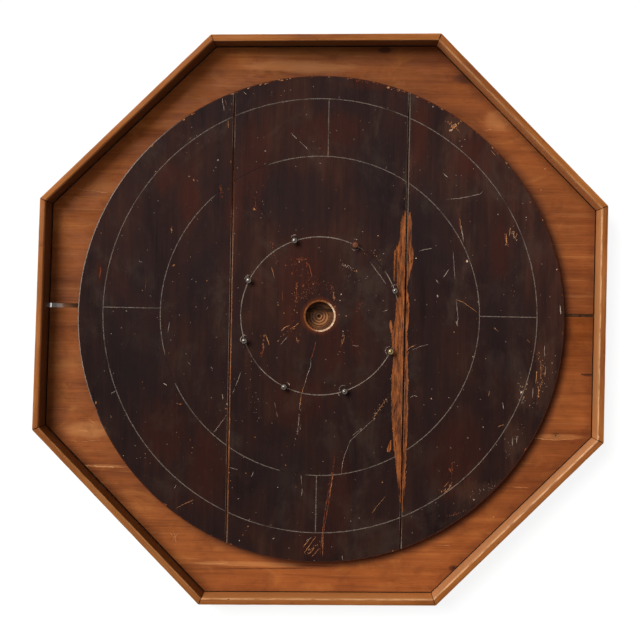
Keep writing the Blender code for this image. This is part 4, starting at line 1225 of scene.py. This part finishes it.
# The bit's mark under the hole: radius and depth in mm, from its rim to the pilot hole's foot
BIT_MARK = (
    (13.4, 0), (12.8, 0.55), (11.9, 0.5), (11.3, 0.12), (9.9, 0.1), (9.2, 0.55), (8.3, 0.5),
    (7.6, 0.12), (6.2, 0.12), (5.5, 0.6), (4.6, 0.55), (3.8, 0.15), (2.6, 0.2), (2, 0.6), (1.7, 4),
)
BIT_MARK_OFF = Vector((-0.9 * MM, -0.6 * MM, 0.0))
BIT_MARK_STEPS = 48
BIT_MARK_WAVE = 0.06
BIT_MARK_RATE = 0.4


def floor_cutter():
    """Scratches on the tray's floor and the bit's rings in the mark under the hole."""
    bm = bmesh.new()
    for kind, width, *path in FLOOR_STROKES:
        scratch(bm, kind, width * MM, spots(path, FLOOR_TOP))
    for kind, size, longer, turn, px, py in FLOOR_CHIPS:
        chip(bm, kind, size * MM, spot(px, py, FLOOR_TOP), longer, math.radians(turn))
    middle = Vector((PLAY_MIDDLE.x, PLAY_MIDDLE.y, FLOOR_TOP)) + BIT_MARK_OFF
    rings = []
    for reach, deep in ((BIT_MARK[0][0], -LIFT / MM),) + BIT_MARK:
        ring = []
        for k in range(BIT_MARK_STEPS):
            turn = math.tau * k / BIT_MARK_STEPS
            x = math.cos(turn)
            y = math.sin(turn)
            wave = 1.0 + BIT_MARK_WAVE * field.noise(Vector((x, y, reach * BIT_MARK_RATE)))
            ring.append(middle + (Vector((x, y, 0.0)) * reach * wave - UP * deep) * MM)
        rings.append(ring)
    tube(bm, rings, "bored")
    return cutter_object(bm)


def bevel_rail_side(piece, slot):
    """Breaks the top edges against the rails, where dirt gathers in a dark line."""
    bm = bmesh.new()
    bm.from_mesh(piece.data)
    edges = []
    for edge in bm.edges:
        middle = (edge.verts[0].co + edge.verts[1].co) / 2
        flat = all(abs(v.co.z - FLOOR_TOP) < FLAT_HEIGHT for v in edge.verts)
        sides = [abs(face.normal.z) < 0.5 for face in edge.link_faces]
        if flat and any(sides) and not all(sides):
            if any(middle.dot(side_normal(k)[1]) > side_reach(k) - RAIL_THICKNESS - GRIME_REACH
                   for k in range(len(SIDES))):
                edges.append(edge)
    made = bmesh.ops.bevel(bm, geom=edges, offset=GRIME_WIDTH, segments=1, affect="EDGES", profile=0.5)
    for face in made["faces"]:
        face.material_index = slot
    bm.to_mesh(piece.data)
    bm.free()


def make_floor():
    cutter = floor_cutter()
    for name, shift, shaded_hole in (("back", 2.0, True), ("front", 9.0, False)):
        node = "base_board_" + name
        piece = solid_copy(node)
        clothe(piece.data, base_wood("base_wood_" + name, shift, shaded_hole), CUTS["dark"])
        bevel_rail_side(piece, 1)
        carve(piece, cutter)
        soften(piece.data, 25.0)
        dress(piece, node)
    drop(cutter)


# Rails

RAIL_STROKES = (
    ("bright", 0.9, 37.4, 243.6, 43.4, 244.2), ("dark", 0.6, 37.4, 245.4, 43.4, 246),
)
RAIL_CHIPS = (
    ("bright", 3, 1.6, 0, 228.6, 599.4), ("bright", 2.4, 1.5, 45, 108.6, 131.8),
    ("tan", 2.6, 1.4, 45, 63.6, 456.8), ("dark", 3, 1.8, 0, 317, 40.4),
    ("bright", 2.2, 1.5, 0, 417, 34.6), ("tan", 2, 1.3, 0, 604.6, 355.7),
    ("tan", 2.2, 1.3, 90, 603.8, 421), ("bright", 2.4, 2, 0, 597.8, 437),
    ("bright", 2.6, 2.2, 50, 463, 566.6), ("bright", 2.2, 2.4, 50, 459.8, 570),
    ("tan", 2.4, 1.4, 45, 585.6, 459.6), ("bright", 2, 1.4, 0, 37.6, 388.4),
)
# How far in from the outer faces each open mitre starts and ends, in mm
MITRE_INSETS = (-0.4, 9.0)
KNOCKS = 5
KNOCK_SPAN = 0.13
KNOCK_DROP = 0.2 * MM
KNOCK_SIZES = (0.8, 1.8)
KNOCK_LENGTHS = (1.5, 4.0)
RAIL_LENGTHS_START = 14 * MM
RAIL_LENGTHS_STEP = 9 * MM
BISECT_REACH = 1e-7
# Only the upper part of a rail wanders: where that starts and how far it reaches, as shares of the
# rail's height, how many waves in a metre, and how far out and up in mm
WANDER_LOW = 5 * MM
WANDER_START = 0.7
WANDER_REACH = 0.3
WANDER_WAVES = 45.0
WANDER_APART = 7.0
WANDER_OUT = 0.22
WANDER_UP = 0.35
WANDER_SECOND = 9.0


def rail_cutter():
    bm = bmesh.new()
    for kind, width, *path in RAIL_STROKES:
        scratch(bm, kind, width * MM, spots(path, RAIL_TOP))
    for kind, size, longer, turn, px, py in RAIL_CHIPS:
        chip(bm, kind, size * MM, spot(px, py, RAIL_TOP), longer, math.radians(turn))
    for index in range(len(SIDES)):
        angle, normal = side_normal(index)
        along = Vector((-normal.y, normal.x, 0.0))
        reach = side_reach(index)
        after = (index + 1) % len(SIDES)
        mitre = [meeting(index, after, inset * MM) + UP * RAIL_TOP for inset in MITRE_INSETS]
        scratch(bm, "dark", 1.2 * MM, mitre, 0.5, 0.15)
        for _ in range(KNOCKS):
            out = reach if dice.random() < 0.5 else reach - RAIL_THICKNESS
            place = normal * out + along * dice.uniform(-KNOCK_SPAN, KNOCK_SPAN)
            chip(bm, dice.choice(("tan", "bright", "dark")), dice.uniform(*KNOCK_SIZES) * MM,
                 place + UP * (RAIL_TOP - KNOCK_DROP), dice.uniform(*KNOCK_LENGTHS), angle + QUARTER)
    return cutter_object(bm)


def weather(piece, index):
    """Cuts a rail into short lengths and lets its long edges wander, as planed and knocked wood does."""
    normal = side_normal(index)[1]
    along = Vector((-normal.y, normal.x, 0.0))
    bm = bmesh.new()
    bm.from_mesh(piece.data)
    span = [v.co.dot(along) for v in bm.verts]
    start = min(span) + RAIL_LENGTHS_START
    while start < max(span) - RAIL_LENGTHS_START:
        bmesh.ops.bisect_plane(bm, geom=bm.verts[:] + bm.edges[:] + bm.faces[:], dist=BISECT_REACH,
                               plane_co=along * start, plane_no=along)
        start += RAIL_LENGTHS_STEP
    for vert in bm.verts:
        if vert.co.z > WANDER_LOW:
            seat = Vector((vert.co.dot(along) * WANDER_WAVES, index * WANDER_APART, 0.0))
            rise = (vert.co.z - WANDER_START * RAIL_TOP) / (WANDER_REACH * RAIL_TOP)
            rise = max(0.0, rise)
            vert.co += normal * WANDER_OUT * MM * rise * field.noise(seat)
            vert.co.z += WANDER_UP * MM * rise * field.noise(seat + UP * WANDER_SECOND)
    bm.to_mesh(piece.data)
    bm.free()


def make_rails():
    cutter = rail_cutter()
    for index, side in enumerate(SIDES):
        node = "rail_" + side
        piece = solid_copy(node)
        clothe(piece.data, rail_wood(index))
        weather(piece, index)
        carve(piece, cutter)
        soften(piece.data, 40.0)
        dress(piece, node)
    drop(cutter)


# Metal

# The two posts that differ: their pixels
RUSTY_POST_PX = (355.5, 243.6)
BRASS_POST_PX = (390.0, 351.0)
POST_NEAR = 12 * MM


def make_metal():
    steel = metal("post_steel", "34302E", "847C74", "4A2818", 0.3, 0.17)
    rusty = metal("post_rusty", "4A2A1C", "A87050", "6E3018", 0.5, 0.26)
    brass = metal("post_brass", "54452F", "A8926C", "5A3818", 0.3, 0.2)
    iron = metal("fastener_iron", "1C1816", "4A423C", "4A2412", 0.6, 0.5)
    for name, piece in nodes.items():
        if name.startswith("post_"):
            look = steel
            middle = sum(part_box(name), Vector()) / 2
            for kind, pixel in ((rusty, RUSTY_POST_PX), (brass, BRASS_POST_PX)):
                if (spot(*pixel).to_2d() - middle.to_2d()).length < POST_NEAR:
                    look = kind
            clothe(piece.data, look)
            soften(piece.data, 40.0)
        elif name.startswith(("nail_", "screw_")):
            clothe(piece.data, iron)
            soften(piece.data, 30.0)


# Fill in the open seam, with painted light at its left end, and dirt in the mitres

RAIL_SPAN = 0.726
SEAM_GAPS = (5.5 * MM, 4.2 * MM)
SEAM_STEPS = 150
SEAM_BITE = 0.02 * MM
SEAM_LOW = 3 * MM
SEAM_DROP = 1.1 * MM
SEAM_LUMP = 0.7 * MM
SEAM_WAVES = 120.0
SEAM_END_DROP = 3.0 * MM
SEAM_END = 14 * MM
SEAM_SIDE_RISE = 0.3 * MM
SEAM_MIDDLE_DROP = 0.5 * MM
MITRE_WIDTH = 0.8 * MM
MITRE_STEPS = 8
MITRE_DIRT_INSETS = (0.6 * MM, RAIL_THICKNESS - 0.9 * MM)
MITRE_LOW = 1 * MM
MITRE_DROP = 1.3 * MM
MITRE_LUMP = 0.6 * MM


def fill_piece(name, rings, look):
    """A filling body with one material, which is the first kind's slot."""
    bm = bmesh.new()
    tube(bm, rings, KINDS[0])
    bmesh.ops.recalc_face_normals(bm, faces=bm.faces)
    mesh = made_mesh(bm, look.name)
    mesh.materials.append(look)
    return linked(name, mesh)


def make_seam_fill():
    """A lumpy dark strip in the seam from the tray's left end to the right rail; its pale left end is
    painted light.
    """
    start = spot(*SEAM_LEFT_PX, FLOOR_TOP).x
    end = spot(*SEAM_RIGHT_PX, FLOOR_TOP).x
    middle = seam_middle()
    rings = []
    for k in range(SEAM_STEPS + 1):
        x = start + (end - start) * (k / SEAM_STEPS)
        gap = SEAM_GAPS[0] + (SEAM_GAPS[1] - SEAM_GAPS[0]) * (x / RAIL_SPAN + 0.5)
        half = gap / 2 + SEAM_BITE
        top = FLOOR_TOP - SEAM_DROP + SEAM_LUMP * field.noise(Vector((x * SEAM_WAVES, 0.0, 0.0)))
        top -= SEAM_END_DROP * max(0.0, 1.0 - (x - start) / SEAM_END)
        outline = ((-half, SEAM_LOW), (half, SEAM_LOW), (half, top + SEAM_SIDE_RISE),
                   (0.0, top - SEAM_MIDDLE_DROP), (-half, top + SEAM_SIDE_RISE))
        rings.append([Vector((x, middle + off, height)) for off, height in outline])
    piece = fill_piece("seam_fill_painted_light", rings, putty("seam_fill_painted_light", "24150C", "5A3A22", True))
    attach(piece, "root")


def make_mitre_dirt():
    """A thin dark body in each mitre, where glue and dirt fill the joint nearly to the top."""
    look = putty("mitre_dirt", "0E0906", "2C1B10")
    for index in range(len(SIDES)):
        after = (index + 1) % len(SIDES)
        start, end = [meeting(index, after, inset) for inset in MITRE_DIRT_INSETS]
        way = (end - start).normalized()
        side = Vector((-way.y, way.x, 0.0)) * (MITRE_WIDTH / 2 + SEAM_BITE)
        rings = []
        for k in range(MITRE_STEPS + 1):
            place = start.lerp(end, k / MITRE_STEPS)
            top = RAIL_TOP - MITRE_DROP + MITRE_LUMP * field.noise(Vector((index * 3.1, k * 0.7, 0.0)))
            rings.append([place - side + UP * MITRE_LOW, place + side + UP * MITRE_LOW,
                          place + side + UP * top, place - side + UP * top])
        piece = fill_piece("mitre_dirt_" + SIDES[index], rings, look)
        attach(piece, "root")


# Studio

FLOOR_SPAN = 8.0
FLOOR_GAP = 0.3 * MM
FLOOR_SHADE = (0.8, 0.8, 0.8, 1.0)
FLOOR_FAINT = (0.2, 0.2, 0.2, 1.0)
FLOOR_GLOW = 0.86
WHITE = (1.0, 1.0, 1.0, 1.0)
KEY_LEAN = (21.5, 19.0)
KEY_POWER = 2.75
KEY_SPREAD = 27.0
KEY_COLOUR = (1.0, 0.985, 0.96)
SKY_LEVEL = 0.3
# The rise of a look between which the sky turns from the lamps' level to plain white
SKY_RISES = (0.75, 0.45)


def make_floor_sheet():
    s = Shade("studio_floor")
    plain = s.add("ShaderNodeBsdfDiffuse", [("Color", FLOOR_SHADE)]).outputs[0]
    faint = s.add("ShaderNodeBsdfDiffuse", [("Color", FLOOR_FAINT)]).outputs[0]
    glow = s.add("ShaderNodeEmission", [("Color", WHITE), ("Strength", FLOOR_GLOW)]).outputs[0]
    pale = s.add("ShaderNodeAddShader", [(0, faint), (1, glow)]).outputs[0]
    both = s.add("ShaderNodeMixShader", [(0, s.seen()), (1, plain), (2, pale)]).outputs[0]
    s.add("ShaderNodeOutputMaterial", [("Surface", both)])
    bm = bmesh.new()
    bmesh.ops.create_grid(bm, x_segments=1, y_segments=1, size=FLOOR_SPAN / 2)
    mesh = made_mesh(bm, "studio_floor")
    mesh.materials.append(s.material)
    sheet = linked("studio_floor", mesh)
    sheet.location.z = -FLOOR_GAP


def make_lights():
    data = bpy.data.lights.new("key", "SUN")
    data.energy = KEY_POWER
    data.angle = math.radians(KEY_SPREAD)
    data.color = KEY_COLOUR
    left, back = [math.tan(math.radians(lean)) for lean in KEY_LEAN]
    key = linked("key", data)
    key.rotation_euler = Vector((-left, back, 1.0)).to_track_quat("Z", "Y").to_euler()
    world = bpy.data.worlds.new("studio")
    s = Tree(world)
    rise = s.axes(s.add("ShaderNodeTexCoord").outputs["Generated"])[2]
    seen = s.calc("MULTIPLY", s.seen(), s.step(rise, *SKY_RISES))
    level = s.add("ShaderNodeMapRange", [("Value", seen), ("To Min", SKY_LEVEL), ("To Max", 1.0)])
    glow = s.add("ShaderNodeBackground", [("Color", WHITE), ("Strength", level.outputs[0])])
    s.add("ShaderNodeOutputWorld", [("Surface", glow.outputs[0])])
    bpy.context.scene.world = world


make_disc()
make_floor()
make_rails()
make_metal()
make_seam_fill()
make_mitre_dirt()
make_floor_sheet()
make_lights()
bpy.context.scene.view_settings.view_transform = "Standard"
